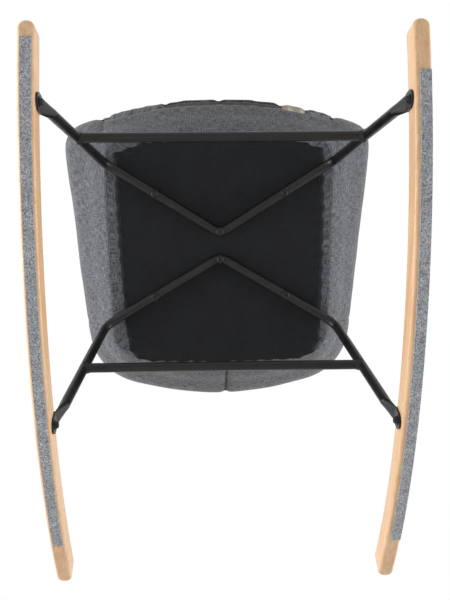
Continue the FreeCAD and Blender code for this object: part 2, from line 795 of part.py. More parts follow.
def build_tub():
    """Build the seat board, the panels, the foam and every panel of the covers."""
    cover = size("cover_thickness")
    panel = size("panel_thickness")
    under, top = board_levels()
    rail_top = top + size("rail_height")
    split = size("back_split")
    outside = tub_solid(0.0)
    inside_cover = tub_solid(cover)
    inside_panel = tub_solid(cover + panel)
    space = part_of(sitting_space(), z=(top, None))
    space_lined = part_of(sitting_space(cover), z=(top, None))
    full = below_top_edge()
    lined = below_top_edge(cover)

    board = part_of(inside_cover, z=(under, top))
    nut_low = under + size("tee_nut_cover")
    clear = size("bolt_diameter") + 2 * size("bolt_clearance")
    holes = []
    for end in ("front", "rear"):
        for point in seat_screw_points(end):
            holes.append(upright_cylinder(point, clear, under, nut_low))
            holes.append(upright_cylinder(point, size("tee_nut_barrel"), nut_low, top))
            holes.append(upright_cylinder(
                point, size("tee_nut_flange"), top - size("tee_nut_flange_thickness"), top
            ))
    add_shape("seat_board", board.cut(holes + staple_solids()))

    shell = part_of(inside_cover.cut(inside_panel), z=(top, None))
    shell = shell.common(below_top_edge(size("panel_edge_gap"))).cut(space_lined)
    setback = -(size("board_front") - size("rail_depth") / 2)
    add_shape("back_panel", part_of(shell, y=(split, None)))
    add_shape("side_panel_left", part_of(shell, x=(None, 0), y=(setback, split)))
    add_shape("side_panel_right", part_of(shell, x=(0, None), y=(setback, split)))
    shell = part_of(shell, y=(setback, None))

    padding = part_of(inside_cover.common(lined), z=(top, None)).cut([space_lined, shell])
    add_shape("back_foam", part_of(padding, y=(split, None)))
    add_shape("arm_foam_left", part_of(padding, x=(None, 0), y=(None, split)))
    add_shape("arm_foam_right", part_of(padding, x=(0, None), y=(None, split)))

    lining = part_of(inside_cover.common(full), z=(top, None)).cut([space, padding, shell])
    add_shape("inner_back_cover", part_of(lining, y=(split, None)))
    add_shape("inner_arm_cover_left", part_of(lining, x=(None, 0), y=(None, split)))
    add_shape("inner_arm_cover_right", part_of(lining, x=(0, None), y=(None, split)))

    skin = outside.cut(inside_cover).common(full).cut(part_of(space, z=(rail_top, None)))
    band_half = size("bowl_half_front") - size("wall_at_bowl")
    band_rear = -(size("board_front") - size("board_corner"))
    band = part_of(skin, x=(-band_half, band_half), y=(None, band_rear), z=(None, rail_top))
    add_shape("front_band_cover", band)
    rest = skin.cut(band)
    add_shape("outer_back_cover", part_of(rest, y=(split, None)))
    add_shape("outer_arm_cover_left", part_of(rest, x=(None, 0), y=(None, split)))
    add_shape("outer_arm_cover_right", part_of(rest, x=(0, None), y=(None, split)))

    cushion = part_of(space.common(inside_cover), z=(top, top + size("seat_foam_height")))
    rail_rear = -(size("board_front") - size("rail_depth"))
    rail = part_of(cushion, y=(None, rail_rear), z=(top, rail_top))
    add_shape("front_rail", rail)
    add_shape("seat_foam", cushion.cut(rail))
    wrap_top = top + size("seat_foam_height") + cover
    wrap = part_of(space.common(outside), z=(rail_top, wrap_top))
    add_shape("seat_cover", wrap.cut(part_of(inside_cover, z=(None, wrap_top - cover))))


# ---------------------------------------------------------------- dust cover
def staple_solids():
    """Return the staples that hold the dust cover's edge, each with its crown on the cover."""
    thickness = size("dust_cover_thickness")
    wire = size("staple_wire")
    crown = size("staple_crown")
    edge = plan_wire("board", size("dust_cover_margin") + size("staple_inset"))
    count = int(edge.Length // size("staple_pitch"))
    points = edge.discretize(Number=count + 1)[:-1]
    staples = []
    for number, point in enumerate(points):
        onward = (points[(number + 1) % count] - points[number - 1]).normalize()
        bar = Part.makeBox(crown, wire, wire, Vector(-crown / 2, -wire / 2, -thickness - wire))
        legs = [
            Part.makeBox(wire, wire, thickness + size("staple_leg"), Vector(x, -wire / 2, -thickness))
            for x in (-crown / 2, crown / 2 - wire)
        ]
        staple = bar.fuse(legs).removeSplitter()
        turn = FreeCAD.Rotation(Vector(1, 0, 0), onward)
        staple.Placement = FreeCAD.Placement(point, turn)
        staples.append(staple)
    return staples


def build_dust_cover():
    """Build the thin cover under the seat board and the staples round its edge."""
    thickness = size("dust_cover_thickness")
    outline = plan_wire("board", size("dust_cover_margin"))
    outline.translate(Vector(0, 0, -thickness))
    cover = Part.Face(outline).extrude(Vector(0, 0, thickness))
    clear = size("bolt_diameter") + 2 * size("bolt_clearance")
    screws = seat_screw_points("front") + seat_screw_points("rear")
    holes = [upright_cylinder(point, clear, 0, 2 * level_height("board")) for point in screws]
    staples = staple_solids()
    add_shape("dust_cover", cover.cut(holes + staples))
    group_solids("dust_cover_staples", staples)


# ---------------------------------------------------------------- build, check and export
def check_and_export():
    """Stop if any object failed, then write each sub-part to parts/ under its own label."""
    doc.recompute()
    for item in doc.Objects:
        if "Invalid" in item.State or "Error" in item.State:
            raise RuntimeError(f"{item.Label} failed: {item.State}")
    os.makedirs("parts", exist_ok=True)
    for item in SUBPARTS:
        shape = item.Shape
        if shape.isNull() or not shape.isValid():
            raise RuntimeError(f"{item.Label} has no valid shape")
        shape.exportStep(f"parts/{item.Label}.step")
        print(f"{item.Label}: {len(shape.Solids)} solid(s), {shape.Volume / 1000:.1f} cm3")


build_rockers()
build_felt_strips()
build_leg_tubes()
build_crossbars()
build_foot_fasteners()
build_seat_screws()
build_tub()
build_dust_cover()
check_and_export()
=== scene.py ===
"""Upholstered tub rocking chair: the visual model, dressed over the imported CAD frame.

The upholstery is modelled in the frame of the seat: +Z square to the seat board, the front towards -Y, and
the origin on the centre plane of the leg tubes. Every mesh is turned to the chair's frame when it is done.
"""
import logging
import math
from dataclasses import dataclass, field
from enum import Enum
from typing import Callable, Iterable, Sequence, Union

import bmesh
import bpy
from mathutils import Euler, Matrix, Vector, noise
from mathutils.bvhtree import BVHTree
from mathutils.kdtree import KDTree


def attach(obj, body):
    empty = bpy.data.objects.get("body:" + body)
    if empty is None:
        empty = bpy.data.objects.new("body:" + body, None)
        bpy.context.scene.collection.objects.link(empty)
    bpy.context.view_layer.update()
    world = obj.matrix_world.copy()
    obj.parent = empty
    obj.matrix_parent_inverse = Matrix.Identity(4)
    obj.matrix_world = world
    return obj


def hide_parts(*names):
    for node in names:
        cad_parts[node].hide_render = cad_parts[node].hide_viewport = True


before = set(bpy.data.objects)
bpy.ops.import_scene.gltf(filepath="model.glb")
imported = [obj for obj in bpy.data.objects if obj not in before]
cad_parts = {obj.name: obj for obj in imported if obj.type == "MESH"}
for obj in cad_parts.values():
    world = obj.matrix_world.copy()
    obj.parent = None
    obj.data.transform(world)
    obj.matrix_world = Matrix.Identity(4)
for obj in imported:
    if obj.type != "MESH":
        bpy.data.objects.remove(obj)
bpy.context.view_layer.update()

logging.basicConfig(level=logging.INFO, format="%(message)s")
LOG = logging.getLogger("rocking_chair")

MM = 0.001
REACH = 0.008  # how deep a cover may lie in a hard piece and still be lifted off it, in metres
MERGE = 0.02 * MM  # how near two vertices of a CAD node are one
WHITE = "ffffff"

Socket = bpy.types.NodeSocket
Value = Union[bpy.types.NodeSocket, float]
Colour = Union[bpy.types.NodeSocket, str]
Field = Callable[[Vector], float]


# ------------------------------------------------------------------------------------------ the seat's frame
@dataclass(frozen=True)
class SeatFrame:
    """Where the seat's own frame stands in the frame of the chair.

    Args:
        pitch: how far the seat leans back, in degrees.
        back: the seat frame's origin along Y, in metres.
        up: the seat frame's origin above the floor, in metres.
    """

    pitch: float = 10.54
    back: float = -0.093248
    up: float = 0.358358

    def matrix(self) -> Matrix:
        """Returns the matrix from the seat's frame to the chair's."""
        lean = Matrix.Rotation(-math.radians(self.pitch), 4, "X")
        return Matrix.Translation((0.0, self.back, self.up)) @ lean


SEAT = SeatFrame().matrix()
TO_SEAT = SEAT.inverted()


# ---------------------------------------------------------------------------------------------- node helpers
def linear(code: str) -> tuple[float, float, float, float]:
    """Turns a colour to linear light.

    Args:
        code: the colour as six sRGB hex digits.

    Returns:
        Linear red, green and blue, and an alpha of one.
    """
    channels = [int(code[i:i + 2], 16) / 255 for i in (0, 2, 4)]
    red, green, blue = (c / 12.92 if c <= 0.04045 else ((c + 0.055) / 1.055) ** 2.4 for c in channels)
    return red, green, blue, 1.0


def add_node(
    tree: bpy.types.NodeTree, kind: str, inputs: dict | None = None, **settings: object
) -> bpy.types.Node:
    """Adds a shader node.

    Args:
        tree: the tree it goes in.
        kind: the node's type without the ShaderNode prefix.
        inputs: socket name or number to a constant, or to an output socket that feeds it.
        settings: the node's own properties.

    Returns:
        The node.
    """
    node = tree.nodes.new("ShaderNode" + kind)
    for name, value in settings.items():
        setattr(node, name, value)
    for key, value in (inputs or {}).items():
        if isinstance(value, bpy.types.NodeSocket):
            tree.links.new(value, node.inputs[key])
        else:
            node.inputs[key].default_value = value
    return node


class Tree:
    """One material's node tree, with short names for the nodes the finishes share.

    Args:
        name: the material's name.
    """

    def __init__(self, name: str) -> None:
        self.material = bpy.data.materials.new(name)
        self.material.use_nodes = True
        self.tree = self.material.node_tree
        self.tree.nodes.clear()

    def node(self, kind: str, inputs: dict | None = None, **settings: object) -> bpy.types.Node:
        """Adds a node to this tree. See add_node."""
        return add_node(self.tree, kind, inputs, **settings)

    def object_mm(self, stretch: Sequence[float] = (1.0, 1.0, 1.0)) -> Socket:
        """Returns object coordinates in millimetres, each axis divided by stretch."""
        place = self.node("TexCoord").outputs["Object"]
        scale = [1.0 / MM / s for s in stretch]
        return self.node("Mapping", {"Vector": place, "Scale": scale}).outputs[0]

    def cloth_mm(self, stretch: Sequence[float] = (1.0, 1.0)) -> Socket:
        """Returns the cloth's own coordinates along warp and weft in millimetres, divided by stretch."""
        place = self.node("UVMap", uv_map="cloth").outputs[0]
        scale = [1.0 / MM / s for s in stretch]
        return self.node("Mapping", {"Vector": place, "Scale": [*scale, 1.0]}).outputs[0]

    def noise(self, place: Socket, scale: float, detail: float = 2.0) -> Socket:
        """Returns noise about 0.5; scale is one over the size of a blot in the coordinates' unit."""
        return self.node("TexNoise", {"Vector": place, "Scale": scale, "Detail": detail}).outputs[0]

    def math(self, operation: str, a: Value, b: Value = 0.0, c: Value = 0.0) -> Socket:
        """Returns a Math node's result."""
        return self.node("Math", {0: a, 1: b, 2: c}, operation=operation).outputs[0]

    def band(
        self, value: Socket, low: float, high: float, to_low: float = 0.0, to_high: float = 1.0
    ) -> Socket:
        """Returns value mapped from low..high onto to_low..to_high and held there."""
        inputs = {"Value": value, "From Min": low, "From Max": high, "To Min": to_low, "To Max": to_high}
        return self.node("MapRange", inputs, clamp=True).outputs[0]

    def mix(self, share: Value, first: Colour, second: Colour) -> Socket:
        """Returns two colours mixed; each may be a socket or a hex code."""
        first, second = (linear(c) if isinstance(c, str) else c for c in (first, second))
        return self.node("Mix", {0: share, 6: first, 7: second}, data_type="RGBA").outputs[2]

    def split(self, place: Socket) -> Sequence[Socket]:
        """Returns a vector's three parts."""
        return self.node("SeparateXYZ", {0: place}).outputs

    def bump(self, height: Socket, depth: float, strength: float = 1.0) -> Socket:
        """Returns a normal bumped by height; depth is its full range in metres."""
        return self.node("Bump", {"Height": height, "Distance": depth, "Strength": strength}).outputs[0]

    def surface(
        self, colour: Socket, roughness: Value, normal: Socket, **sockets: float
    ) -> bpy.types.Material:
        """Ends the tree in a Principled BSDF.

        Args:
            colour: the base colour.
            roughness: a socket or a number.
            normal: the bumped normal.
            sockets: constants for more sockets, with underscores for spaces.

        Returns:
            The material.
        """
        inputs = {"Base Color": colour, "Roughness": roughness, "Normal": normal}
        inputs.update({name.replace("_", " "): value for name, value in sockets.items()})
        shader = self.node("BsdfPrincipled", inputs)
        self.node("OutputMaterial", {"Surface": shader.outputs[0]})
        return self.material


# -------------------------------------------------------------------------------------------------- finishes
@dataclass(frozen=True)
class AshWood:
    """Clear-oiled bent ash: pale, with long open grain along the rocker and darker end grain streaks.

    Args:
        name: the material's name.
        pale: the early wood between the rings.
        deep: the darker late wood.
        pore: the open pores.
    """

    name: str = "ash_wood"
    pale: str = "deba94"
    deep: str = "bf9264"
    pore: str = "a8764a"

    def make(self) -> bpy.types.Material:
        """Returns the material."""
        t = Tree(self.name)
        rings = t.noise(t.object_mm((5.0, 260.0, 5.0)), 1.0, 3.0)
        streaks = t.noise(t.object_mm((1.1, 70.0, 1.1)), 1.0, 2.0)
        pores = t.noise(t.object_mm((0.45, 9.0, 0.45)), 1.0, 1.0)
        broad = t.noise(t.object_mm((40.0, 120.0, 40.0)), 1.0, 1.0)
        share = t.math("MULTIPLY_ADD", t.band(rings, 0.35, 0.68), 0.45, t.band(streaks, 0.4, 0.7, 0.0, 0.28))
        share = t.math("ADD", share, t.band(broad, 0.4, 0.65, -0.06, 0.14))
        colour = t.mix(share, self.pale, self.deep)
        colour = t.mix(t.band(pores, 0.62, 0.72, 0.0, 0.35), colour, self.pore)
        rough = t.band(streaks, 0.3, 0.7, 0.36, 0.5)
        height = t.math("SUBTRACT", streaks, t.band(pores, 0.6, 0.72))
        return t.surface(colour, rough, t.bump(height, 0.00012))


@dataclass(frozen=True)
class WoolFelt:
    """Pressed grey wool felt: tangled fibres with pale and blue-black flecks.

    Args:
        name: the material's name.
        base: the mass of the fibres.
        pale: the pale fibres.
        dark: the blue-black flecks.
    """

    name: str = "grey_felt"
    base: str = "909397"
    pale: str = "c8cacd"
    dark: str = "54575f"

    def make(self) -> bpy.types.Material:
        """Returns the material."""
        t = Tree(self.name)
        place = t.object_mm()
        fibres = t.noise(t.object_mm((1.6, 3.2, 1.6)), 1.0, 3.0)
        flecks = t.noise(place, 0.42, 2.0)
        pale = t.noise(t.object_mm((2.2, 2.8, 2.2)), 1.0, 2.0)
        broad = t.noise(place, 0.05, 2.0)
        colour = t.mix(t.band(fibres, 0.46, 0.62, 0.0, 0.6), self.base, self.pale)
        colour = t.mix(t.band(flecks, 0.5, 0.6, 0.0, 0.75), colour, self.dark)
        colour = t.mix(t.band(pale, 0.55, 0.64, 0.0, 0.7), colour, self.pale)
        colour = t.mix(t.band(broad, 0.35, 0.65, 0.0, 0.25), colour, self.dark)
        return t.surface(colour, 0.95, t.bump(fibres, 0.0009), Sheen_Weight=0.3, Sheen_Roughness=0.5)


@dataclass(frozen=True)
class PowderCoat:
    """Black powder coat over steel: satin, with a fine orange peel and light rubbing.

    Args:
        name: the material's name.
        base: the coat.
        rubbed: the coat where it is rubbed.
    """

    name: str = "black_tube"
    base: str = "0a0b0c"
    rubbed: str = "141517"

    def make(self) -> bpy.types.Material:
        """Returns the material."""
        t = Tree(self.name)
        place = t.object_mm()
        peel = t.noise(place, 0.9, 2.0)
        wear = t.noise(place, 0.03, 3.0)
        colour = t.mix(t.band(wear, 0.45, 0.75, 0.0, 0.5), self.base, self.rubbed)
        rough = t.band(wear, 0.3, 0.7, 0.3, 0.46)
        return t.surface(colour, rough, t.bump(peel, 0.00012), IOR=1.42)


@dataclass(frozen=True)
class BlackSteel:
    """Black oxide steel: dark, with brighter worn specks scattered over it.

    Args:
        name: the material's name.
        base: the oxide.
        worn: the steel where the oxide is worn.
    """

    name: str = "black_fastener"
    base: str = "1a1a1c"
    worn: str = "58585d"

    def make(self) -> bpy.types.Material:
        """Returns the material."""
        t = Tree(self.name)
        grit = t.noise(t.object_mm(), 1.4, 3.0)
        colour = t.mix(t.band(grit, 0.5, 0.72, 0.0, 0.6), self.base, self.worn)
        return t.surface(colour, t.band(grit, 0.3, 0.7, 0.3, 0.5), t.bump(grit, 0.00008), Metallic=0.6)


@dataclass(frozen=True)
class ZincSteel:
    """Zinc-plated steel with a dull spangle.

    Args:
        name: the material's name.
        base: the bright plating.
        dull: its duller crystals.
    """

    name: str = "zinc_steel"
    base: str = "8f9194"
    dull: str = "6a6c70"

    def make(self) -> bpy.types.Material:
        """Returns the material."""
        t = Tree(self.name)
        cells = t.node("TexVoronoi", {"Vector": t.object_mm(), "Scale": 0.5}).outputs["Distance"]
        grit = t.noise(t.object_mm(), 0.8, 3.0)
        colour = t.mix(t.band(cells, 0.2, 0.8), self.base, self.dull)
        return t.surface(colour, t.band(grit, 0.3, 0.7, 0.32, 0.5), t.bump(grit, 0.00005), Metallic=1.0)


@dataclass(frozen=True)
class Plywood:
    """Birch plywood: pale faces with layered edges across the board.

    Args:
        name: the material's name.
        pale: the face veneer.
        dark: its grain and the plies between.
    """

    name: str = "plywood"
    pale: str = "d9bd92"
    dark: str = "a8814f"

    def make(self) -> bpy.types.Material:
        """Returns the material."""
        t = Tree(self.name)
        plies = t.noise(t.object_mm((200.0, 200.0, 1.5)), 1.0, 1.0)
        grain = t.noise(t.object_mm((2.0, 60.0, 2.0)), 1.0, 3.0)
        colour = t.mix(t.band(grain, 0.35, 0.7), self.pale, self.dark)
        colour = t.mix(t.band(plies, 0.45, 0.55, 0.0, 0.35), colour, self.dark)
        return t.surface(colour, 0.6, t.bump(grain, 0.0001))


class Figure(Enum):
    """The figures woven into the patch fabrics."""

    PLAIN = "plain"
    HERRINGBONE = "herringbone"
    CHECK = "check"
    STRIPE = "stripe"


@dataclass(frozen=True)
class WovenCloth:
    """Coarse woven upholstery cloth of marled yarns, with slubs, and painted shade that darkens the fold of
    its seams.

    Real yarns of this cloth are about 0.8 mm wide. They are drawn about twice as coarse, so that they show.

    Args:
        name: the material's name.
        dark: the yarns' darker colour.
        light: the yarns' lighter colour.
        pitch: the width of one yarn in millimetres.
        contrast: how far the marl goes from dark to light, 0 to 1.
        figure: what is woven into it.
        accent: the colour of the figure.
        seam_shade: how dark the painted shade in the fold of a seam is, 0 to 1.
        slub: how long a yarn keeps its colour, in millimetres.
    """

    name: str
    dark: str
    light: str
    pitch: float = 1.5
    contrast: float = 1.1
    figure: Figure = Figure.PLAIN
    accent: str = "3c3d40"
    seam_shade: float = 0.88
    slub: float = 14.0

    def make(self) -> bpy.types.Material:
        """Returns the material."""
        t = Tree(self.name)
        along = t.noise(t.cloth_mm((self.slub, self.pitch)), 1.0, 1.0)
        across = t.noise(t.cloth_mm((self.pitch, self.slub)), 1.0, 1.0)
        u, v, _ = t.split(t.cloth_mm((self.pitch / math.pi, self.pitch / math.pi)))
        over = t.math("MULTIPLY", t.math("SINE", u), t.math("SINE", v))
        top = t.band(over, -0.25, 0.25)
        yarn = t.node("Mix", {0: top, 2: along, 3: across}, data_type="FLOAT").outputs[0]
        half = self.contrast / 2
        both = t.math("MULTIPLY_ADD", across, 0.4, t.math("MULTIPLY", yarn, 0.2))
        both = t.math("MULTIPLY_ADD", along, 0.4, both)
        share = t.band(both, 0.42, 0.6, 0.5 - half, 0.5 + half)
        colour = t.mix(share, self.dark, self.light)
        colour = self.figured(t, colour)
        broad = t.noise(t.cloth_mm(), 0.016, 2.0)
        colour = t.mix(t.band(broad, 0.35, 0.65, 0.0, 0.22), colour, self.dark)
        # painted shade: near-black in the gaps between the yarns, where the weave lies in shadow
        gap = t.band(t.math("ABSOLUTE", over), 0.0, 0.3, 0.12, 0.0)
        colour = t.mix(gap, colour, "101012")
        # painted shade: the cloth turns near-black close to a seam, as if its fold lay in shadow
        seam = t.node("Attribute", attribute_name="seam").outputs["Fac"]
        colour = t.mix(t.band(seam, 0.0004, 0.0026, self.seam_shade, 0.0), colour, "050506")
        height = t.math("MULTIPLY_ADD", t.math("ABSOLUTE", over), 0.5, t.math("MULTIPLY", yarn, 0.8))
        normal = t.bump(height, 0.0005, 0.7)
        return t.surface(colour, 0.92, normal, IOR=1.4, Sheen_Weight=0.2, Sheen_Roughness=0.5)

    def figured(self, t: Tree, colour: Socket) -> Socket:
        """Weaves this cloth's figure over its ground colour.

        Args:
            t: the material's tree.
            colour: the ground colour.

        Returns:
            The figured colour.
        """
        if self.figure is Figure.PLAIN:
            return colour
        u, v, _ = t.split(t.cloth_mm())
        if self.figure is Figure.HERRINGBONE:
            turn = t.math("PINGPONG", u, 9.0)
            line = t.math("SINE", t.math("MULTIPLY", t.math("ADD", v, turn), 2.0))
            return t.mix(t.band(line, -0.2, 0.4, 0.0, 0.6), colour, self.accent)
        if self.figure is Figure.CHECK:
            waves = [t.math("SINE", t.math("MULTIPLY", s, 0.42)) for s in (u, v)]
            bars = [t.band(wave, 0.3, 0.5, 0.0, 0.45) for wave in waves]
            return t.mix(t.math("ADD", bars[0], bars[1]), colour, self.accent)
        line = t.math("SINE", t.math("MULTIPLY", u, 0.9))
        return t.mix(t.band(line, 0.35, 0.6, 0.0, 0.6), colour, self.accent)


@dataclass(frozen=True)
class NonWoven:
    """Black spunbonded dust cloth: matted fibres with a grid of bonding dots, drawn coarse enough to show.

    Args:
        name: the material's name.
        base: the mat.
        fibre: its paler fibres.
    """

    name: str = "black_dust_cloth"
    base: str = "0b0c0e"
    fibre: str = "1c1f23"

    def make(self) -> bpy.types.Material:
        """Returns the material."""
        t = Tree(self.name)
        mat = t.noise(t.object_mm((1.2, 1.2, 1.2)), 1.0, 4.0)
        long_fibres = t.noise(t.object_mm((0.7, 9.0, 0.7)), 1.0, 3.0)
        grid = {"Vector": t.cloth_mm(), "Scale": 0.55, "Randomness": 0.15}
        dots = t.node("TexVoronoi", grid).outputs["Distance"]
        broad = t.noise(t.cloth_mm(), 0.02, 3.0)
        colour = t.mix(t.band(mat, 0.42, 0.66), self.base, self.fibre)
        colour = t.mix(t.band(long_fibres, 0.55, 0.7, 0.0, 0.4), colour, self.fibre)
        colour = t.mix(t.band(dots, 0.16, 0.3, 0.35, 0.0), colour, "040405")
        colour = t.mix(t.band(broad, 0.4, 0.62, 0.0, 0.3), colour, self.fibre)
        height = t.math("MULTIPLY_ADD", t.band(dots, 0.12, 0.34), 0.6, t.math("MULTIPLY", mat, 0.5))
        return t.surface(colour, 0.78, t.bump(height, 0.0004, 0.7), IOR=1.3)


class Patch(Enum):
    """The fabrics of the upholstery, in the order of their material slots."""

    BODY = 0
    CHARCOAL = 1
    MID = 2
    LIGHT = 3
    BEIGE = 4
    CREAM = 5
    HERRINGBONE = 6
    CHECK = 7
    STRIPE = 8


PATCH_CLOTHS = {
    Patch.BODY: WovenCloth("grey_cloth", "34353a", "6f7176"),
    Patch.CHARCOAL: WovenCloth("patch_charcoal", "2a2b2e", "46474b", 1.3, 0.7),
    Patch.MID: WovenCloth("patch_mid_grey", "4b4d52", "787a7f", 1.4),
    Patch.LIGHT: WovenCloth("patch_light_grey", "76777c", "a8a9ad", 1.4),
    Patch.BEIGE: WovenCloth("patch_beige", "988d78", "c8bfac", 1.7),
    Patch.CREAM: WovenCloth("patch_cream", "b4ac9b", "dcd6c8", 1.7),
    Patch.HERRINGBONE: WovenCloth(
        "patch_herringbone", "76777c", "a2a3a7", 1.3, 0.7, Figure.HERRINGBONE, "3a3b40"
    ),
    Patch.CHECK: WovenCloth("patch_check", "959085", "bdb8ac", 1.3, 0.7, Figure.CHECK, "545559"),
    Patch.STRIPE: WovenCloth("patch_stripe", "55575c", "808287", 1.3, 0.7, Figure.STRIPE, "b4b0a5"),
}


# ---------------------------------------------------------------------------------------------- mesh helpers
def link(name: str, mesh: bpy.types.Mesh) -> bpy.types.Object:
    """Returns a new object for a mesh, linked to the scene."""
    item = bpy.data.objects.new(name, mesh)
    bpy.context.scene.collection.objects.link(item)
    return item


def evaluated(item: bpy.types.Object) -> bpy.types.Mesh:
    """Returns a new mesh of an object with its modifiers applied."""
    graph = bpy.context.evaluated_depsgraph_get()
    return bpy.data.meshes.new_from_object(item.evaluated_get(graph))


def discard(item: bpy.types.Object) -> None:
    """Removes a helper object and its mesh."""
    mesh = item.data
    bpy.data.objects.remove(item)
    bpy.data.meshes.remove(mesh)


def cad_copy(names: Iterable[str]) -> bmesh.types.BMesh:
    """Copies CAD nodes into the seat's frame, each node's own vertices merged.

    Args:
        names: the nodes.

    Returns:
        One mesh of all the copies.
    """
    joined = bmesh.new()
    for name in names:
        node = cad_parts[name]
        part = bmesh.new()
        part.from_mesh(node.data)
        part.transform(TO_SEAT @ node.matrix_world)
        bmesh.ops.remove_doubles(part, verts=part.verts, dist=MERGE)
        mesh = bpy.data.meshes.new("cad_copy")
        part.to_mesh(mesh)
        part.free()
        joined.from_mesh(mesh)
        bpy.data.meshes.remove(mesh)
    return joined


def modified(bm: bmesh.types.BMesh, kind: str, **settings: object) -> bmesh.types.BMesh:
    """Puts a mesh through one modifier.

    Args:
        bm: the source, which is freed.
        kind: the modifier's type.
        settings: the modifier's own properties.

    Returns:
        The modified mesh.
    """
    mesh = bpy.data.meshes.new("modifier_source")
    bm.to_mesh(mesh)
    bm.free()
    source = link("modifier_source", mesh)
    modifier = source.modifiers.new("modifier", kind)
    for name, value in settings.items():
        setattr(modifier, name, value)
    made = bmesh.new()
    result = evaluated(source)
    made.from_mesh(result)
    bpy.data.meshes.remove(result)
    discard(source)
    return made


def remeshed(bm: bmesh.types.BMesh, voxel: float) -> bmesh.types.BMesh:
    """Makes the voxel skin of a mesh.

    Args:
        bm: the source, which is freed.
        voxel: the voxels' size in metres.

    Returns:
        The skin's largest island.
    """
    skin = modified(bm, "REMESH", mode="VOXEL", voxel_size=voxel)
    keep_largest(skin)
    return skin


def keep_largest(bm: bmesh.types.BMesh) -> None:
    """Deletes every island of a mesh but the one with the most vertices.

    Args:
        bm: the mesh.
    """
    unseen = set(bm.verts)
    islands = []
    while unseen:
        island = {unseen.pop()}
        edge_of = list(island)
        while edge_of:
            vertex = edge_of.pop()
            for edge in vertex.link_edges:
                other = edge.other_vert(vertex)
                if other in unseen:
                    unseen.remove(other)
                    island.add(other)
                    edge_of.append(other)
        islands.append(island)
    islands.sort(key=len)
    loose = [v for island in islands[:-1] for v in island]
    bmesh.ops.delete(bm, geom=loose, context="VERTS")


def smooth(bm: bmesh.types.BMesh, rounds: int, above: float = -1.0) -> None:
    """Smooths a mesh by averaging each vertex with its neighbours.

    Args:
        bm: the mesh.
        rounds: how many times it is averaged.
        above: the level above which it is smoothed.
    """
    verts = [v for v in bm.verts if v.co.z > above]
    for _ in range(rounds):
        bmesh.ops.smooth_vert(bm, verts=verts, factor=0.5, use_axis_x=True, use_axis_y=True, use_axis_z=True)
    bm.normal_update()


def push_out(bm: bmesh.types.BMesh, distance: float) -> None:
    """Moves every vertex outwards along its normal."""
    moves = [v.normal * distance for v in bm.verts]
    for vertex, move in zip(bm.verts, moves):
        vertex.co += move
    bm.normal_update()


def clear_of(bm: bmesh.types.BMesh, names: Iterable[str], gap: float) -> None:
    """Lifts a cover off the hard pieces under it, so that no corner of theirs shows through.

    Args:
        bm: the cover in the seat's frame.
        names: the hard pieces' nodes.
        gap: the least distance the cover keeps from them.
    """
    for name in names:
        hard = cad_copy((name,))
        tree = BVHTree.FromBMesh(hard)
        hard.free()
        for vertex in bm.verts:
            place, normal, _, distance = tree.find_nearest(vertex.co, REACH)
            if place is None:
                continue
            above = (vertex.co - place).dot(normal)
            if above < 0.0 or distance < gap:
                vertex.co = place + normal * gap
    bm.normal_update()


@dataclass(frozen=True)
class Inflation:
    """The cloth simulation that swells a padded form against what holds its cover.

    Args:
        pressure: the pressure inside.
        cap: how far a point may move, in metres.
        frames: how many frames are run.
        mass: each vertex's mass.
        stretch: how stiff the cloth is along and against itself.
        bend: how stiff it is in bending.
    """

    pressure: float = 4.0
    cap: float = 0.012
    frames: int = 20
    mass: float = 0.3
    stretch: float = 15.0
    bend: float = 0.6

    def swell(self, bm: bmesh.types.BMesh, held: Callable[[bmesh.types.BMVert], float]) -> bmesh.types.BMesh:
        """Swells a form.

        Args:
            bm: the form at rest.
            held: how firmly each vertex is held, 0 to 1.

        Returns:
            The same mesh, swollen.
        """
        weights = [held(v) for v in bm.verts]
        mesh = bpy.data.meshes.new("cloth_source")
        bm.to_mesh(mesh)
        source = link("cloth_source", mesh)
        group = source.vertex_groups.new(name="held")
        for index, weight in enumerate(weights):
            if weight > 0.0:
                group.add([index], weight, "REPLACE")
        modifier = source.modifiers.new("cloth", "CLOTH")
        cloth = modifier.settings
        cloth.quality = 4
        cloth.mass = self.mass
        cloth.tension_stiffness = self.stretch
        cloth.compression_stiffness = self.stretch
        cloth.bending_stiffness = self.bend
        cloth.use_pressure = True
        cloth.uniform_pressure_force = self.pressure
        cloth.effector_weights.gravity = 0.0
        cloth.vertex_group_mass = "held"
        modifier.collision_settings.use_collision = False
        modifier.point_cache.frame_start = 1
        modifier.point_cache.frame_end = self.frames
        for number in range(1, self.frames + 1):
            bpy.context.scene.frame_set(number)
        result = evaluated(source)
        for vertex, swollen in zip(bm.verts, result.vertices):
            move = swollen.co - vertex.co
            if move.length > self.cap:
                move *= self.cap / move.length
            vertex.co += move
        bpy.data.meshes.remove(result)
        discard(source)
        bpy.context.scene.frame_set(1)
        bm.normal_update()
        return bm


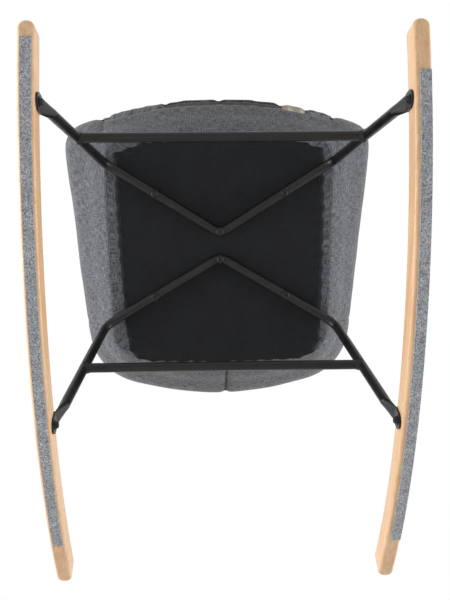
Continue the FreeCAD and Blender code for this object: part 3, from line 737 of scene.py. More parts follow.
def cut_along(
    bm: bmesh.types.BMesh,
    level: Field,
    among: Callable[[Vector], bool] = lambda place: True,
    snap: float = 0.22,
) -> None:
    """Cuts a mesh along the line where a field is zero, so that a seam can follow it.

    Args:
        bm: the mesh, in the seat's frame.
        level: the field, by position.
        among: which faces may be cut, by their centre.
        snap: the share of an edge within which its end is moved onto the line instead.
    """
    faces = [f for f in bm.faces if among(f.calc_center_median())]
    verts = {v for f in faces for v in f.verts}
    value = {v: level(v.co) for v in verts}
    edges = {e for f in faces for e in f.edges}
    for edge in edges:
        a, b = edge.verts
        if value[a] * value[b] < 0.0:
            share = value[a] / (value[a] - value[b])
            near = a if share < snap else b if share > 1.0 - snap else None
            if near is not None:
                near.co = a.co.lerp(b.co, share)
                value[near] = 0.0
    for edge in [e for e in edges if value[e.verts[0]] * value[e.verts[1]] < 0.0]:
        a, b = edge.verts
        share = value[a] / (value[a] - value[b])
        _, fresh = bmesh.utils.edge_split(edge, a, share)
        value[fresh] = 0.0
    for face in faces:
        on = [v for v in face.verts if value.get(v, 1.0) == 0.0]
        for first, second in ((a, b) for i, a in enumerate(on) for b in on[i + 1:]):
            corners = list(face.verts)
            gap = abs(corners.index(first) - corners.index(second))
            if gap not in (1, len(corners) - 1):
                bmesh.utils.face_split(face, first, second)
                break


def subdivided(bm: bmesh.types.BMesh) -> bmesh.types.BMesh:
    """Returns a mesh with one level of Catmull-Clark subdivision. The source is freed."""
    fine = modified(bm, "SUBSURF", levels=1, render_levels=1, boundary_smooth="PRESERVE_CORNERS")
    fine.normal_update()
    return fine


@dataclass(frozen=True)
class SeamLook:
    """How the cover dips into its seams and puckers beside them.

    Args:
        depth: how deep a seam lies, in metres.
        width: how wide its valley is to each side.
        pucker: how high the small folds beside it are.
        wander: how far the whole cover lies above or below its form.
        shade_width: how much narrower the painted shade in the fold of a weaker seam is.
        pucker_pitch: how many small folds there are to a metre.
        wander_pitches: how many broad and middling waves of the cover there are to a metre.
    """

    depth: float = 0.0026
    width: float = 0.006
    pucker: float = 0.0006
    wander: float = 0.0012
    shade_width: float = 0.003
    pucker_pitch: float = 85.0
    wander_pitches: tuple[float, float] = (9.0, 23.0)


def tree_of(places: Sequence[Vector]) -> KDTree:
    """Makes a search tree of places.

    Args:
        places: the places.

    Returns:
        The tree, which gives each place's number.
    """
    tree = KDTree(len(places))
    for index, place in enumerate(places):
        tree.insert(place, index)
    tree.balance()
    return tree


def sew(bm: bmesh.types.BMesh, look: SeamLook, strong: Callable[[int, int], float]) -> None:
    """Presses the seams between a mesh's panels into it, and stores how far each vertex is from one.

    Args:
        bm: the mesh; its face layer "panel" numbers the panels.
        look: the seams' shape.
        strong: how strong the seam between two panels is, 0 to 1.
    """
    panel = bm.faces.layers.int["panel"]
    seam_layer = bm.verts.layers.float.new("seam")
    marks = []
    for edge in bm.edges:
        if len(edge.link_faces) == 2:
            a, b = (f[panel] for f in edge.link_faces)
            if a != b and strong(a, b) > 0.0:
                start, end = (v.co for v in edge.verts)
                marks.extend((start.lerp(end, share), strong(a, b)) for share in (0.0, 0.5, 1.0))
    tree = tree_of([place for place, _ in marks])
    moves = []
    for vertex in bm.verts:
        co = vertex.co
        _, index, distance = tree.find(co)
        power = marks[index][1]
        # this distance places the painted shade along the seams' folds
        vertex[seam_layer] = distance + (1.0 - power) * look.shade_width
        valley = math.exp(-(distance / look.width) ** 2) * look.depth * power
        near = math.exp(-(distance / (3.0 * look.width)) ** 2)
        fold = noise.noise(co * look.pucker_pitch) * look.pucker * near
        broad, middling = (noise.noise(co * pitch) for pitch in look.wander_pitches)
        wander = (broad + 0.5 * middling) * look.wander * (1.0 - 0.6 * near)
        moves.append(vertex.normal * (fold + wander - valley))
    for vertex, move in zip(bm.verts, moves):
        vertex.co += move
    bm.normal_update()


def piece_from(
    bm: bmesh.types.BMesh,
    name: str,
    wanted: Callable[[int], bool],
    cloth_of: Callable[[int], Patch],
    materials: Sequence[bpy.types.Material],
) -> bpy.types.Object:
    """Makes one piece of the wanted panels of a mesh, turned to the chair's frame.

    Args:
        bm: the whole cover in the seat's frame.
        name: the piece's name.
        wanted: which panels it keeps.
        cloth_of: each panel's fabric.
        materials: every fabric's material in the order of Patch.

    Returns:
        The piece's object.
    """
    part = bm.copy()
    panel = part.faces.layers.int["panel"]
    bmesh.ops.delete(part, geom=[f for f in part.faces if not wanted(f[panel])], context="FACES")
    used = sorted({cloth_of(f[panel]).value for f in part.faces})
    for face in part.faces:
        face.material_index = used.index(cloth_of(face[panel]).value)
        face.smooth = True
    part.transform(SEAT)
    mesh = bpy.data.meshes.new(name)
    part.to_mesh(mesh)
    part.free()
    for index in used:
        mesh.materials.append(materials[index])
    item = link(name, mesh)
    LOG.info("%s: %d faces, %d fabrics", name, len(mesh.polygons), len(used))
    return item


# ------------------------------------------------------------------------------------------------ upholstery
@dataclass
class Plan:
    """The tub's outline seen square to the seat, which tells how far round the tub a place is.

    Args:
        corners: the outline's corners on the +X side, from the middle of the back to that of the front.
        centre: where the turn round the tub is measured from, along Y.
        turns: the turn at each corner, worked out from the corners.
        lengths: the length round the outline to each corner, worked out too.
    """

    corners: Sequence[tuple[float, float]] = (
        (0.0, 0.304), (0.1, 0.299), (0.19, 0.276), (0.236, 0.235), (0.257, 0.16), (0.278, 0.0),
        (0.294, -0.14), (0.295, -0.19), (0.268, -0.222), (0.12, -0.255), (0.0, -0.266),
    )
    centre: float = 0.02
    turns: list[float] = field(default_factory=list)
    lengths: list[float] = field(default_factory=list)

    def __post_init__(self) -> None:
        """Works out the turn and the length round the outline at each corner."""
        run = 0.0
        for index, (x, y) in enumerate(self.corners):
            if index:
                before = self.corners[index - 1]
                run += math.hypot(x - before[0], y - before[1])
            self.turns.append(math.atan2(x, y - self.centre))
            self.lengths.append(run)

    def round(self, place: Vector) -> float:
        """Measures how far round the tub a place is.

        Args:
            place: the place, in the seat's frame.

        Returns:
            The length from the middle of the back, below zero on the -X side.
        """
        turn = math.atan2(abs(place.x), place.y - self.centre)
        for low, high, start, end in zip(self.turns, self.turns[1:], self.lengths, self.lengths[1:]):
            if turn <= high:
                run = start + (end - start) * (turn - low) / (high - low)
                return math.copysign(run, place.x)
        return math.copysign(self.lengths[-1], place.x)


PLAN = Plan()


@dataclass
class TubUpholstery:
    """The upholstered walls: outer covers, front band, and the patched inner covers over padding.

    Args:
        voxel: the remesh's voxels.
        first_rounds: how far the whole skin is smoothed.
        rounds: how far the form's hard edges are smoothed after that, above the board.
        swelling: how far the padding may swell.
        proud: how far the cover stands outside the smoothed form.
        piping_inset: how far in from the outside the outer cover ends along the top.
        split: where the back's covers meet the arms', along the seat.
        band_half: half the front band's width.
        band_top: the front band's top.
        band_sides_top: the level that its two side seams are cut up to.
        board_zone: the level below which the form keeps its edges, round the seat board.
        under: the cover's lowest level, over the seat board's underside.
        back_seam: where the middle seam of the outer back stands.
        back_strength: how strong that seam is.
        outer_strength: how strong the outer covers' other seams are.
        tuck_top: the level below which the outer covers lean in to the board.
        tuck_stretch: how much longer the cover is there than it is high.
        roll: how far over the rim the cloth's coordinates keep rising.
        column: the width of a patch round the inside, measured on the outline.
        row: the height of a patch.
        first_row: where the lowest seam across the patches stands.
        fold: how far the cover stands out round the seat board's lower edge.
        fold_top: the level where that starts.
        fold_fade: how far below it the cover stands out fully.
        fold_from: how far from the seat's middle it starts.
        gap: how far the cover stays off the hard pieces under it.
        lap: how far above the board's underside its cloth is still laid flat.
        overlap: how far past the board's edge the cloth is still flat.
        columns: how many columns of patches there may be to each side.
        rows: how many seams run round the inside, one above another.
        front: the tub's front lies ahead of this, along Y.
        swell_floor: the level above which the padding swells.
        inner_floor: the level above which the inner covers show.
        rim_floor: the level above which the outer covers have an edge along the top.
        seam_reach: how far from a column's seam its cut may reach, measured on the outline.
        tied: how near a seam the swelling is held down.
    """

    voxel: float = 0.006
    first_rounds: int = 3
    rounds: int = 22
    swelling: float = 0.012
    proud: float = 0.004
    piping_inset: float = 0.013
    split: float = 0.150
    band_half: float = 0.212
    band_top: float = 0.079
    band_sides_top: float = 0.09
    board_zone: float = 0.036
    under: float = 0.0087
    back_seam: float = 0.011
    back_strength: float = 1.3
    outer_strength: float = 0.45
    tuck_top: float = 0.084
    tuck_stretch: float = 1.56
    roll: float = 0.06
    column: float = 0.132
    row: float = 0.104
    first_row: float = 0.150
    fold: float = 0.004
    fold_top: float = 0.05
    fold_fade: float = 0.02
    fold_from: float = 0.1
    gap: float = 0.0018
    lap: float = 0.009
    overlap: float = 0.0028
    columns: int = 7
    rows: int = 4
    front: float = -0.15
    swell_floor: float = 0.06
    inner_floor: float = 0.07
    rim_floor: float = 0.05
    seam_reach: float = 0.05
    tied: float = 0.006

    SKIN = ("outer_back_cover", "outer_arm_cover_left", "outer_arm_cover_right", "front_band_cover")
    PADDING = (
        "inner_back_cover", "inner_arm_cover_left", "inner_arm_cover_right", "back_foam", "arm_foam_left",
        "arm_foam_right",
    )
    PANELS = ("back_panel", "side_panel_left", "side_panel_right")
    BOARDS = ("seat_board", "front_rail")
    OUTER_BACK, OUTER_BACK_RIGHT, OUTER_LEFT, OUTER_RIGHT, BAND = range(5)
    INNER = 10
    SIDE_STEP = 200
    ROW_STEP = 20
    ORDER = (
        Patch.MID, Patch.LIGHT, Patch.CHARCOAL, Patch.BEIGE, Patch.BODY, Patch.HERRINGBONE, Patch.CREAM,
        Patch.MID, Patch.STRIPE, Patch.LIGHT, Patch.CHECK, Patch.BODY, Patch.BEIGE, Patch.CHARCOAL,
        Patch.LIGHT, Patch.MID, Patch.CREAM,
    )

    def inset_of(self, skin: BVHTree) -> Field:
        """Returns the field of how deep a place lies behind the outer skin."""
        return lambda place: skin.find_nearest(place)[3]

    def build(self, materials: Sequence[bpy.types.Material]) -> None:
        """Builds every cover of the walls and ties it to the nodes it stands for.

        Args:
            materials: every fabric's material in the order of Patch.
        """
        shell = cad_copy(self.SKIN)
        skin = BVHTree.FromBMesh(shell)
        shell.free()
        inset = self.inset_of(skin)
        bm = remeshed(cad_copy(self.SKIN + self.PADDING + self.PANELS + self.BOARDS), self.voxel)
        smooth(bm, self.first_rounds)
        smooth(bm, self.rounds, self.board_zone)
        push_out(bm, self.proud)
        self.fold_round_board(bm)
        bm = Inflation(cap=self.swelling).swell(bm, lambda v: self.held(v.co, inset(v.co)))
        smooth(bm, 1)
        self.cut_seams(bm, inset)
        self.number_panels(bm, inset)
        bm = subdivided(bm)
        for vertex in bm.verts:
            if vertex.co.z < self.under:
                vertex.co.z = self.under
        sew(bm, SeamLook(), self.strength)
        clear_of(bm, ("front_rail", *self.PANELS), self.gap)
        self.lie_on_board(bm)
        self.unwrap(bm, inset)
        self.share_out(bm, materials)
        bm.free()

    def fold_round_board(self, bm: bmesh.types.BMesh) -> None:
        """Carries the cover out round the seat board's lower edge, where it is folded under.

        Args:
            bm: the walls.
        """
        for vertex in bm.verts:
            flat = Vector((vertex.co.x, vertex.co.y, 0.0))
            share = min(max((self.fold_top - vertex.co.z) / self.fold_fade, 0.0), 1.0)
            if share > 0.0 and flat.length > self.fold_from:
                vertex.co += flat.normalized() * self.fold * share

    def lie_on_board(self, bm: bmesh.types.BMesh) -> None:
        """Lays the folded-in cloth flat under the seat board, to just past the board's edge.

        Args:
            bm: the walls.
        """
        board = cad_copy(("seat_board",))
        tree = BVHTree.FromBMesh(board)
        low = min(v.co.z for v in board.verts)
        board.free()
        for vertex in bm.verts:
            if vertex.co.z > low + self.lap:
                continue
            probe = Vector((vertex.co.x, vertex.co.y, low + self.lap / 2))
            place, normal, _, distance = tree.find_nearest(probe)
            if distance < self.overlap or (probe - place).dot(normal) < 0.0:
                vertex.co.z = self.under

    def held(self, place: Vector, inset: float) -> float:
        """Tells how firmly the swelling holds a place: the outside is tight over its panels.

        Args:
            place: the place.
            inset: how deep it lies behind the outer skin.

        Returns:
            One where it is held fast, or zero.
        """
        if place.z < self.swell_floor or inset < self.piping_inset:
            return 1.0
        seam = min(abs(v) for v in (
            place.y - self.split, self.column_phase(place), self.row_phase(place.z),
        ))
        return 1.0 if seam < self.tied else 0.0

    def column_phase(self, place: Vector) -> float:
        """Returns the distance round the tub to the nearest seam between two columns of patches."""
        run = PLAN.round(place) - self.back_seam
        return (run + self.column / 2) % self.column - self.column / 2

    def row_phase(self, height: float) -> float:
        """Returns the distance up to the nearest seam between two rows of patches."""
        return (height - self.first_row + self.row / 2) % self.row - self.row / 2

    def is_inner(self, place: Vector, inset: Field) -> bool:
        """Tells whether a place lies on the inner covers."""
        return inset(place) > self.piping_inset and place.z > self.inner_floor

    def cut_seams(self, bm: bmesh.types.BMesh, inset: Field) -> None:
        """Cuts the walls along every seam.

        Args:
            bm: the walls.
            inset: the field of how deep a place lies behind the outer skin.
        """
        edge = self.piping_inset
        cut_along(bm, lambda p: inset(p) - edge, lambda c: c.z > self.rim_floor)
        cut_along(bm, lambda p: p.y - self.split)
        cut_along(bm, lambda p: p.x - self.back_seam, lambda c: c.y > self.split and inset(c) < edge)
        cut_along(bm, lambda p: p.z - self.band_top, lambda c: c.y < self.front and abs(c.x) < self.band_half)
        for sign in (-1.0, 1.0):
            cut_along(
                bm, lambda p, s=sign: p.x - s * self.band_half,
                lambda c: c.y < self.front and c.z < self.band_sides_top,
            )
        for number in range(-self.columns, self.columns + 1):
            run = self.back_seam + number * self.column
            cut_along(
                bm, lambda p, r=run: PLAN.round(p) - r,
                lambda c, r=run: self.is_inner(c, inset) and abs(PLAN.round(c) - r) < self.seam_reach,
            )
        for number in range(self.rows):
            cut_along(
                bm, lambda p, n=number: p.z - self.first_row - n * self.row,
                lambda c: self.is_inner(c, inset),
            )

    def number_panels(self, bm: bmesh.types.BMesh, inset: Field) -> None:
        """Numbers each face's panel in the layer "panel".

        Args:
            bm: the walls.
            inset: the field of how deep a place lies behind the outer skin.
        """
        panel = bm.faces.layers.int.new("panel")
        for face in bm.faces:
            c = face.calc_center_median()
            if self.is_inner(c, inset):
                column = math.floor((PLAN.round(c) - self.back_seam) / self.column) + self.columns + 1
                row = min(max(math.floor((c.z - self.first_row) / self.row) + 1, 0), self.rows)
                side = 0 if c.y > self.split else 1 if c.x < 0.0 else 2
                face[panel] = self.INNER + side * self.SIDE_STEP + row * self.ROW_STEP + column
            elif c.y < self.front and abs(c.x) < self.band_half and c.z < self.band_top:
                face[panel] = self.BAND
            elif c.y > self.split:
                face[panel] = self.OUTER_BACK if c.x < self.back_seam else self.OUTER_BACK_RIGHT
            else:
                face[panel] = self.OUTER_LEFT if c.x < 0.0 else self.OUTER_RIGHT

    def strength(self, a: int, b: int) -> float:
        """Tells how strong the seam between two panels is.

        Args:
            a: one panel's number.
            b: the other's.

        Returns:
            Zero for no seam, one for a full seam.
        """
        if {a, b} == {self.OUTER_LEFT, self.OUTER_RIGHT}:
            return 0.0
        if {a, b} == {self.OUTER_BACK, self.OUTER_BACK_RIGHT}:
            return self.back_strength
        return self.outer_strength if a < self.INNER and b < self.INNER else 1.0

    def unwrap(self, bm: bmesh.types.BMesh, inset: Field) -> None:
        """Gives the cloth its coordinates along and up the walls, in metres.

        Args:
            bm: the walls.
            inset: the field of how deep a place lies behind the outer skin.
        """
        layer = bm.loops.layers.uv.new("cloth")
        spot = {}
        for vertex in bm.verts:
            co = vertex.co
            tucked = self.tuck_top - (self.tuck_top - co.z) * self.tuck_stretch
            rise = co.z if co.z > self.tuck_top else tucked
            spot[vertex] = (PLAN.round(co), rise + min(inset(co), self.roll))
        for face in bm.faces:
            for loop in face.loops:
                loop[layer].uv = spot[loop.vert]

    def cloth_of(self, number: int) -> Patch:
        """Returns a panel's fabric."""
        if number < self.INNER:
            return Patch.BODY
        row, column = divmod((number - self.INNER) % self.SIDE_STEP, self.ROW_STEP)
        return self.ORDER[(column * 5 + row * 7) % len(self.ORDER)]

    def is_on_side(self, number: int, side: int) -> bool:
        """Tells whether a panel is an inner one of a side: 0 the back, 1 the -X arm, 2 the +X arm."""
        return number >= self.INNER and (number - self.INNER) // self.SIDE_STEP == side

    def share_out(self, bm: bmesh.types.BMesh, materials: Sequence[bpy.types.Material]) -> None:
        """Makes the separate covers and ties each to the nodes it stands for.

        Args:
            bm: the walls.
            materials: every fabric's material in the order of Patch.
        """
        back, left, right = (lambda n, side=side: self.is_on_side(n, side) for side in range(3))
        backs = (self.OUTER_BACK, self.OUTER_BACK_RIGHT)
        covers = (
            ("outer_back_upholstery", lambda n: n in backs, ("outer_back_cover",)),
            ("outer_arm_upholstery_left", lambda n: n == self.OUTER_LEFT, ("outer_arm_cover_left",)),
            ("outer_arm_upholstery_right", lambda n: n == self.OUTER_RIGHT, ("outer_arm_cover_right",)),
            ("front_band_upholstery", lambda n: n == self.BAND, ("front_band_cover",)),
            ("inner_back_upholstery", back, ("inner_back_cover", "back_foam")),
            ("inner_arm_upholstery_left", left, ("inner_arm_cover_left", "arm_foam_left")),
            ("inner_arm_upholstery_right", right, ("inner_arm_cover_right", "arm_foam_right")),
        )
        for name, wanted, nodes in covers:
            item = piece_from(bm, name, wanted, self.cloth_of, materials)
            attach(item, "root")
            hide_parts(*nodes)


@dataclass
class SeatCushion:
    """The patched seat cushion between the arms, wrapped down over the front rail.

    Args:
        voxel: the remesh's voxels.
        rounds: how far the form is smoothed.
        proud: how far the cover stands outside the smoothed form.
        swelling: how far the padding may swell.
        patch: the width of a patch.
        side_seam: where a seam between two patches runs from front to back.
        front_seam: where the seam along the front edge stands.
        front_top: the level that the front face's patches reach up to.
        front_bow: how much higher the front face's patches reach at half the bow's width.
        bow_half: half the bow's width.
        row_start: how far behind the front seam the rows of the top's patches start.
        gap: how far the cover stays off the front rail.
        rest: the level below which the cushion rests on its board.
        tied: how near a seam the swelling is held down.
        tie: how firmly it is held there, 0 to 1.
        wrap_top: the level below which the cloth runs down the front.
    """

    voxel: float = 0.005
    rounds: int = 9
    proud: float = 0.003
    swelling: float = 0.014
    patch: float = 0.108
    side_seam: float = 0.002
    front_seam: float = -0.204
    front_top: float = 0.088
    front_bow: float = 0.02
    bow_half: float = 0.2
    row_start: float = 0.01
    gap: float = 0.0016
    rest: float = 0.045
    tied: float = 0.004
    tie: float = 0.7
    wrap_top: float = 0.09

    COLUMNS = 3
    TOP_FROM = 10
    ROW_STEP = 10
    FRONT_SEAMS = (-0.205, -0.098, 0.002, 0.118, 0.165)
    FRONT = (Patch.BODY, Patch.BODY, Patch.CHARCOAL, Patch.CHARCOAL, Patch.BEIGE, Patch.MID)
    TOP = (
        Patch.CHARCOAL, Patch.BEIGE, Patch.MID, Patch.LIGHT, Patch.HERRINGBONE, Patch.BODY, Patch.CREAM,
        Patch.MID, Patch.STRIPE, Patch.LIGHT, Patch.CHECK,
    )

    def build(self, materials: Sequence[bpy.types.Material]) -> None:
        """Builds the cushion and ties it to its foam and cover nodes.

        Args:
            materials: every fabric's material in the order of Patch.
        """
        bm = remeshed(cad_copy(("seat_foam", "seat_cover", "front_rail")), self.voxel)
        smooth(bm, self.rounds)
        push_out(bm, self.proud)
        bm = Inflation(cap=self.swelling).swell(bm, self.held)
        smooth(bm, 2)
        self.cut_seams(bm)
        panel = bm.faces.layers.int.new("panel")
        for face in bm.faces:
            face[panel] = self.panel_at(face.calc_center_median())
        bm = subdivided(bm)
        sew(bm, SeamLook(depth=0.003, width=0.0065), lambda a, b: 1.0)
        clear_of(bm, ("front_rail",), self.gap)
        layer = bm.loops.layers.uv.new("cloth")
        for face in bm.faces:
            for loop in face.loops:
                co = loop.vert.co
                loop[layer].uv = (co.x, co.y - max(self.wrap_top - co.z, 0.0))
        item = piece_from(bm, "seat_cushion", lambda n: True, self.cloth_of, materials)
        bm.free()
        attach(item, "root")
        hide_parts("seat_foam", "seat_cover")

    def cut_seams(self, bm: bmesh.types.BMesh) -> None:
        """Cuts the cushion along the front edge, across the front face's patches and between the top's.

        Args:
            bm: the cushion.
        """
        cut_along(bm, self.front_field)
        for x in self.FRONT_SEAMS:
            cut_along(bm, lambda p, x=x: p.x - x, lambda c: self.front_field(c) < 0.0)
        for number in range(-self.COLUMNS, self.COLUMNS + 1):
            x = self.side_seam + number * self.patch
            cut_along(bm, lambda p, x=x: p.x - x, lambda c: self.front_field(c) > 0.0)
            y = self.front_seam + self.row_start + (number + self.COLUMNS) * self.patch
            if number > -self.COLUMNS:
                cut_along(bm, lambda p, y=y: p.y - y, lambda c: self.front_field(c) > 0.0)

    def front_field(self, place: Vector) -> float:
        """Returns a field that is below zero on the cushion's front face."""
        bow = self.front_bow * (place.x / self.bow_half) ** 2
        return (place.y - self.front_seam) * 0.8 + (place.z - self.front_top) * 0.6 - bow

    def held(self, vertex: bmesh.types.BMVert) -> float:
        """Tells how firmly a vertex is held: the underside rests on the board, and seams tie the top.

        Args:
            vertex: the vertex.

        Returns:
            One where it is held fast, down to zero.
        """
        co = vertex.co
        if co.z < self.rest:
            return 1.0
        half = self.patch / 2
        over_x = abs((co.x - self.side_seam + half) % self.patch - half)
        over_y = abs((co.y - self.front_seam - self.row_start + half) % self.patch - half)
        return self.tie if min(over_x, over_y) < self.tied else 0.0

    def panel_at(self, place: Vector) -> int:
        """Finds the panel that a place belongs to.

        Args:
            place: the place, in the seat's frame.

        Returns:
            The panel's number.
        """
        if self.front_field(place) < 0.0:
            return sum(place.x > x for x in self.FRONT_SEAMS)
        column = math.floor((place.x - self.side_seam) / self.patch) + self.COLUMNS + 1
        row = max(math.floor((place.y - self.front_seam - self.row_start) / self.patch), 0)
        return self.TOP_FROM + row * self.ROW_STEP + column

    def cloth_of(self, number: int) -> Patch:
        """Returns a panel's fabric."""
        if number < self.TOP_FROM:
            return self.FRONT[number]
        row, column = divmod(number - self.TOP_FROM, self.ROW_STEP)
        return self.TOP[(column * 4 + row * 3) % len(self.TOP)]


@dataclass
class DustCover:
    """The thin black cloth stapled under the seat board, tight in the middle and puckered at its staples.

    Args:
        corners: its folded edge, clockwise from the front's -X corner, with its skewed sides.
        cut: its flat size, along X and Y; not used.
        level: the middle of the cloth's thickness.
        thickness: the cloth's thickness with its felted surface.
        staple_pitch: how far apart its staples are.
        scallop: how far its edge draws back between staples.
        ripple: how unevenly the edge runs besides.
        step: how far apart the points of its edge are.
        rings: how many rings of faces lead from its edge to its middle.
        pucker: how far the cloth drops between two staples.
        pucker_width: how far in from the edge that fades.
        slack: how far its middle hangs in soft waves.
        lowest: the furthest that any point of it drops.
        highest: the furthest that any point of it rises.
        ears: how much more its corners pucker.
        ear: where a corner is, as distances from the middle.
        ear_spread: how far a corner's pucker reaches, squared.
    """

    corners: Sequence[tuple[float, float]] = (
        (-0.190, -0.167), (-0.180, -0.169), (-0.158, -0.177), (-0.138, -0.185), (0.0, -0.188),
        (0.150, -0.185), (0.170, -0.177), (0.183, -0.174), (0.190, -0.163), (0.190, -0.06), (0.188, 0.08),
        (0.184, 0.178), (0.176, 0.197), (0.160, 0.208), (0.139, 0.213), (0.0, 0.217), (-0.130, 0.214),
        (-0.155, 0.209), (-0.168, 0.194), (-0.172, 0.169), (-0.179, 0.089), (-0.184, 0.01), (-0.188, -0.09),
    )
    cut: tuple[float, float] = (0.380, 0.404)
    level: float = 0.0085
    thickness: float = 0.0006
    staple_pitch: float = 0.027
    scallop: float = 0.0024
    ripple: float = 0.0016
    step: float = 0.003
    rings: int = 26
    pucker: float = 0.0011
    pucker_width: float = 0.014
    slack: float = 0.00035
    lowest: float = 0.0028
    highest: float = 0.0002
    ears: float = 2.0
    ear: tuple[float, float] = (0.18, 0.19)
    ear_spread: float = 0.0018

    def outline(self) -> list[Vector]:
        """Draws the scalloped edge.

        Returns:
            Its points, a step apart.
        """
        dense = []
        for index, start in enumerate(self.corners):
            first = Vector((*start, 0.0))
            last = Vector((*self.corners[(index + 1) % len(self.corners)], 0.0))
            count = max(round((last - first).length / self.step), 1)
            dense += [first.lerp(last, step / count) for step in range(count)]
        for _ in range(2):
            after = dense[1:] + dense[:1]
            dense = [(dense[i - 1] + p * 2.0 + after[i]) / 4.0 for i, p in enumerate(dense)]
        edge = []
        for index, place in enumerate(dense):
            run = index * self.step
            drawn = self.scallop * abs(math.sin(math.pi * run / self.staple_pitch)) ** 1.5
            drawn += self.ripple * noise.noise(place * 70.0)
            edge.append(place - place.normalized() * drawn)
        return edge

    def build(self, material: bpy.types.Material) -> None:
        """Builds the cloth, its pleats and its coordinates, and ties it to its node.

        Args:
            material: the cloth's material.
        """
        edge = self.outline()
        bm = self.flat_cloth(edge)
        area = sum(f.calc_area() for f in bm.faces)
        self.pleat(bm, edge)
        layer = bm.loops.layers.uv.new("cloth")
        for face in bm.faces:
            face.smooth = True
            for loop in face.loops:
                loop[layer].uv = (loop.vert.co.x, loop.vert.co.y)
        bm.transform(SEAT)
        mesh = bpy.data.meshes.new("dust_cover_cloth")
        bm.to_mesh(mesh)
        bm.free()
        mesh.materials.append(material)
        item = link("dust_cover_cloth", mesh)
        shell = item.modifiers.new("thickness", "SOLIDIFY")
        shell.thickness = self.thickness
        shell.offset = 0.0
        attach(item, "root")
        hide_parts("dust_cover")
        LOG.info("dust_cover_cloth: %.4f m2", area)

    def flat_cloth(self, edge: Sequence[Vector]) -> bmesh.types.BMesh:
        """Fills an edge with rings of faces towards its middle.

        Args:
            edge: the edge's points.

        Returns:
            The flat cloth, facing down.
        """
        bm = bmesh.new()
        ring = bmesh.ops.create_circle(bm, segments=len(edge), radius=1.0)["verts"]
        for vertex, place in zip(ring, edge):
            vertex.co = place
        bmesh.ops.translate(bm, verts=ring, vec=(0.0, 0.0, self.level))
        border = list(bm.edges)
        for number in range(1, self.rings):
            new = bmesh.ops.extrude_edge_only(bm, edges=border)["geom"]
            verts = {g for g in new if isinstance(g, bmesh.types.BMVert)}
            border = [g for g in new if isinstance(g, bmesh.types.BMEdge) and verts.issuperset(g.verts)]
            share = 1.0 - number / self.rings
            before = 1.0 - (number - 1) / self.rings
            bmesh.ops.scale(bm, verts=list(verts), vec=(share / before, share / before, 1.0))
        bmesh.ops.contextual_create(bm, geom=border)
        bmesh.ops.poke(bm, faces=[f for f in bm.faces if len(f.verts) > 4])
        bmesh.ops.recalc_face_normals(bm, faces=bm.faces)
        if sum(f.normal.z for f in bm.faces) > 0.0:
            bmesh.ops.reverse_faces(bm, faces=bm.faces)
        return bm

    def pleat(self, bm: bmesh.types.BMesh, edge: Sequence[Vector]) -> None:
        """Lets the flat cloth pucker between its staples and hang a little in the middle.

        Args:
            bm: the flat cloth.
            edge: its edge's points.
        """
        nearest = tree_of([Vector((place.x, place.y, 0.0)) for place in edge])
        for vertex in bm.verts:
            flat = Vector((vertex.co.x, vertex.co.y, 0.0))
            _, index, distance = nearest.find(flat)
            run = index * self.step
            pleat = abs(math.sin(math.pi * run / self.staple_pitch + noise.noise(flat * 20.0)))
            off = (abs(flat.x) - self.ear[0]) ** 2 + (abs(flat.y) - self.ear[1]) ** 2
            corner = 1.0 + self.ears * math.exp(-off / self.ear_spread)
            fade = math.exp(-distance / self.pucker_width)
            waves = noise.noise(flat * 14.0) + noise.noise(Vector((flat.x * 9.0, flat.y * 40.0, 3.0)))
            drop = self.pucker * fade * (1.0 - pleat) * corner + max(self.slack * waves, -self.highest)
            vertex.co.z -= min(drop, self.lowest)


# ------------------------------------------------------------------------------------------- the hard pieces
@dataclass
class Base:
    """The rockers, felt, steel legs and fasteners, which keep their CAD shapes."""

    FINISHES = {
        "ash_wood": AshWood(), "grey_felt": WoolFelt(), "black_tube": PowderCoat(),
        "black_fastener": BlackSteel(), "zinc_steel": ZincSteel(), "plywood": Plywood(),
    }
    NODES = {
        "rocker_left": "ash_wood", "rocker_right": "ash_wood", "felt_strip_left": "grey_felt",
        "felt_strip_right": "grey_felt", "front_leg_tube": "black_tube", "rear_leg_tube": "black_tube",
        "front_crossbar": "black_tube", "rear_crossbar": "black_tube", "crossbar_welds": "black_tube",
        "rocker_bolts": "black_fastener", "rocker_bolt_washers": "black_fastener",
        "rocker_inserts": "zinc_steel", "seat_screws": "black_fastener",
        "seat_screw_saddles": "black_fastener", "seat_tee_nuts": "zinc_steel",
        "seat_board": "plywood", "back_panel": "plywood", "side_panel_left": "plywood",
        "side_panel_right": "plywood", "front_rail": "plywood", "dust_cover_staples": "black_fastener",
    }

    def dress(self) -> None:
        """Gives every hard CAD node its finish."""
        made = {name: finish.make() for name, finish in self.FINISHES.items()}
        for name, finish in self.NODES.items():
            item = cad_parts[name]
            if not item.material_slots:
                item.data.materials.append(made[finish])
            for slot in item.material_slots:
                slot.material = made[finish]
            LOG.info("%s: %s", name, finish)


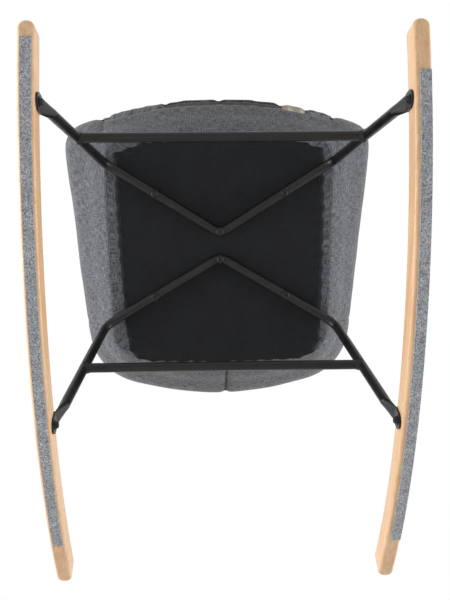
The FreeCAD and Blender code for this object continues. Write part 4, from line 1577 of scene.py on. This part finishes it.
# ------------------------------------------------------------------------------------------------ the studio
@dataclass
class Studio:
    """The pale floor, the white surroundings, the lights and the camera, which looks up through the floor.

    Args:
        world: the surroundings' strength above the horizon.
        below: their strength below it.
        horizon: between which heights of a direction the one turns into the other.
        eye: the camera's place.
        turn: the camera's turn about X, Y and Z, in degrees.
        lens: its focal length over a 36 mm sensor.
        shift: its shift across and up.
    """

    world: float = 1.0
    below: float = 0.58
    horizon: tuple[float, float] = (-0.25, 0.12)
    eye: tuple[float, float, float] = (-0.03846, -0.4314, -1.0149)
    turn: tuple[float, float, float] = (161.8354, 1.172, 0.3188)
    lens: float = 46.8
    shift: tuple[float, float] = (0.01975, 0.0079)

    def floor(self) -> None:
        """Lays a pale floor that is clear when seen from below."""
        bm = bmesh.new()
        bmesh.ops.create_grid(bm, x_segments=1, y_segments=1, size=6.0)
        mesh = bpy.data.meshes.new("floor")
        bm.to_mesh(mesh)
        bm.free()
        item = link("floor", mesh)
        t = Tree("pale_floor")
        cloudy = t.noise(t.object_mm(), 0.004, 2.0)
        colour = t.mix(t.band(cloudy, 0.3, 0.7), "e9e8e6", "f3f2f0")
        top = t.node("BsdfPrincipled", {"Base Color": colour, "Roughness": 0.75})
        clear = t.node("BsdfTransparent")
        below = t.node("NewGeometry").outputs["Backfacing"]
        both = t.node("MixShader", {0: below, 1: top.outputs[0], 2: clear.outputs[0]})
        t.node("OutputMaterial", {"Surface": both.outputs[0]})
        mesh.materials.append(t.material)
        item.visible_shadow = False
        item.visible_diffuse = False

    def surroundings(self) -> None:
        """Lights the studio with white surroundings, dimmer below the horizon than above it."""
        scene = bpy.context.scene
        scene.world = bpy.data.worlds.new("studio")
        scene.world.use_nodes = True
        tree = scene.world.node_tree
        tree.nodes.clear()
        direction = add_node(tree, "TexCoord").outputs["Generated"]
        height = add_node(tree, "SeparateXYZ", {0: direction}).outputs[2]
        low, high = self.horizon
        shares = {
            "Value": height, "From Min": low, "From Max": high, "To Min": self.below, "To Max": self.world,
        }
        strength = add_node(tree, "MapRange", shares, clamp=True).outputs[0]
        background = add_node(tree, "Background", {0: linear(WHITE), 1: strength})
        add_node(tree, "OutputWorld", {0: background.outputs[0]})
        scene.view_settings.view_transform = "Standard"

    def lamp(
        self, name: str, place: Sequence[float], aim: Sequence[float], size: float, power: float
    ) -> None:
        """Hangs one square soft light.

        Args:
            name: the light's name.
            place: where it hangs.
            aim: the place it points at.
            size: its side in metres.
            power: its power in watts.
        """
        light = bpy.data.lights.new(name, "AREA")
        light.size = size
        light.energy = power
        item = bpy.data.objects.new(name, light)
        bpy.context.scene.collection.objects.link(item)
        item.location = place
        item.rotation_euler = (Vector(aim) - Vector(place)).to_track_quat("-Z", "Y").to_euler()

    def camera(self) -> None:
        """Sets up the camera."""
        lens = bpy.data.cameras.new("camera")
        lens.lens = self.lens
        lens.shift_x, lens.shift_y = self.shift
        lens.clip_start = 0.05
        item = bpy.data.objects.new("camera", lens)
        bpy.context.scene.collection.objects.link(item)
        item.location = self.eye
        item.rotation_euler = Euler([math.radians(a) for a in self.turn], "XYZ")
        bpy.context.scene.camera = item

    def build(self) -> None:
        """Builds the whole studio."""
        self.floor()
        self.surroundings()
        self.lamp("key_left", (-2.4, -0.2, 0.2), (0.0, 0.0, 0.35), 1.2, 62.0)
        self.lamp("fill_right", (2.4, 0.1, 0.2), (0.0, 0.0, 0.35), 1.2, 50.0)
        self.lamp("fill_below", (-0.5, 0.1, -1.9), (0.0, 0.0, 0.3), 1.4, 12.0)
        self.camera()


def main() -> None:
    """Builds the studio and dresses the whole chair."""
    Studio().build()
    Base().dress()
    materials = [PATCH_CLOTHS[patch].make() for patch in Patch]
    TubUpholstery().build(materials)
    SeatCushion().build(materials)
    DustCover().build(NonWoven().make())


if __name__ == "__main__":
    main()
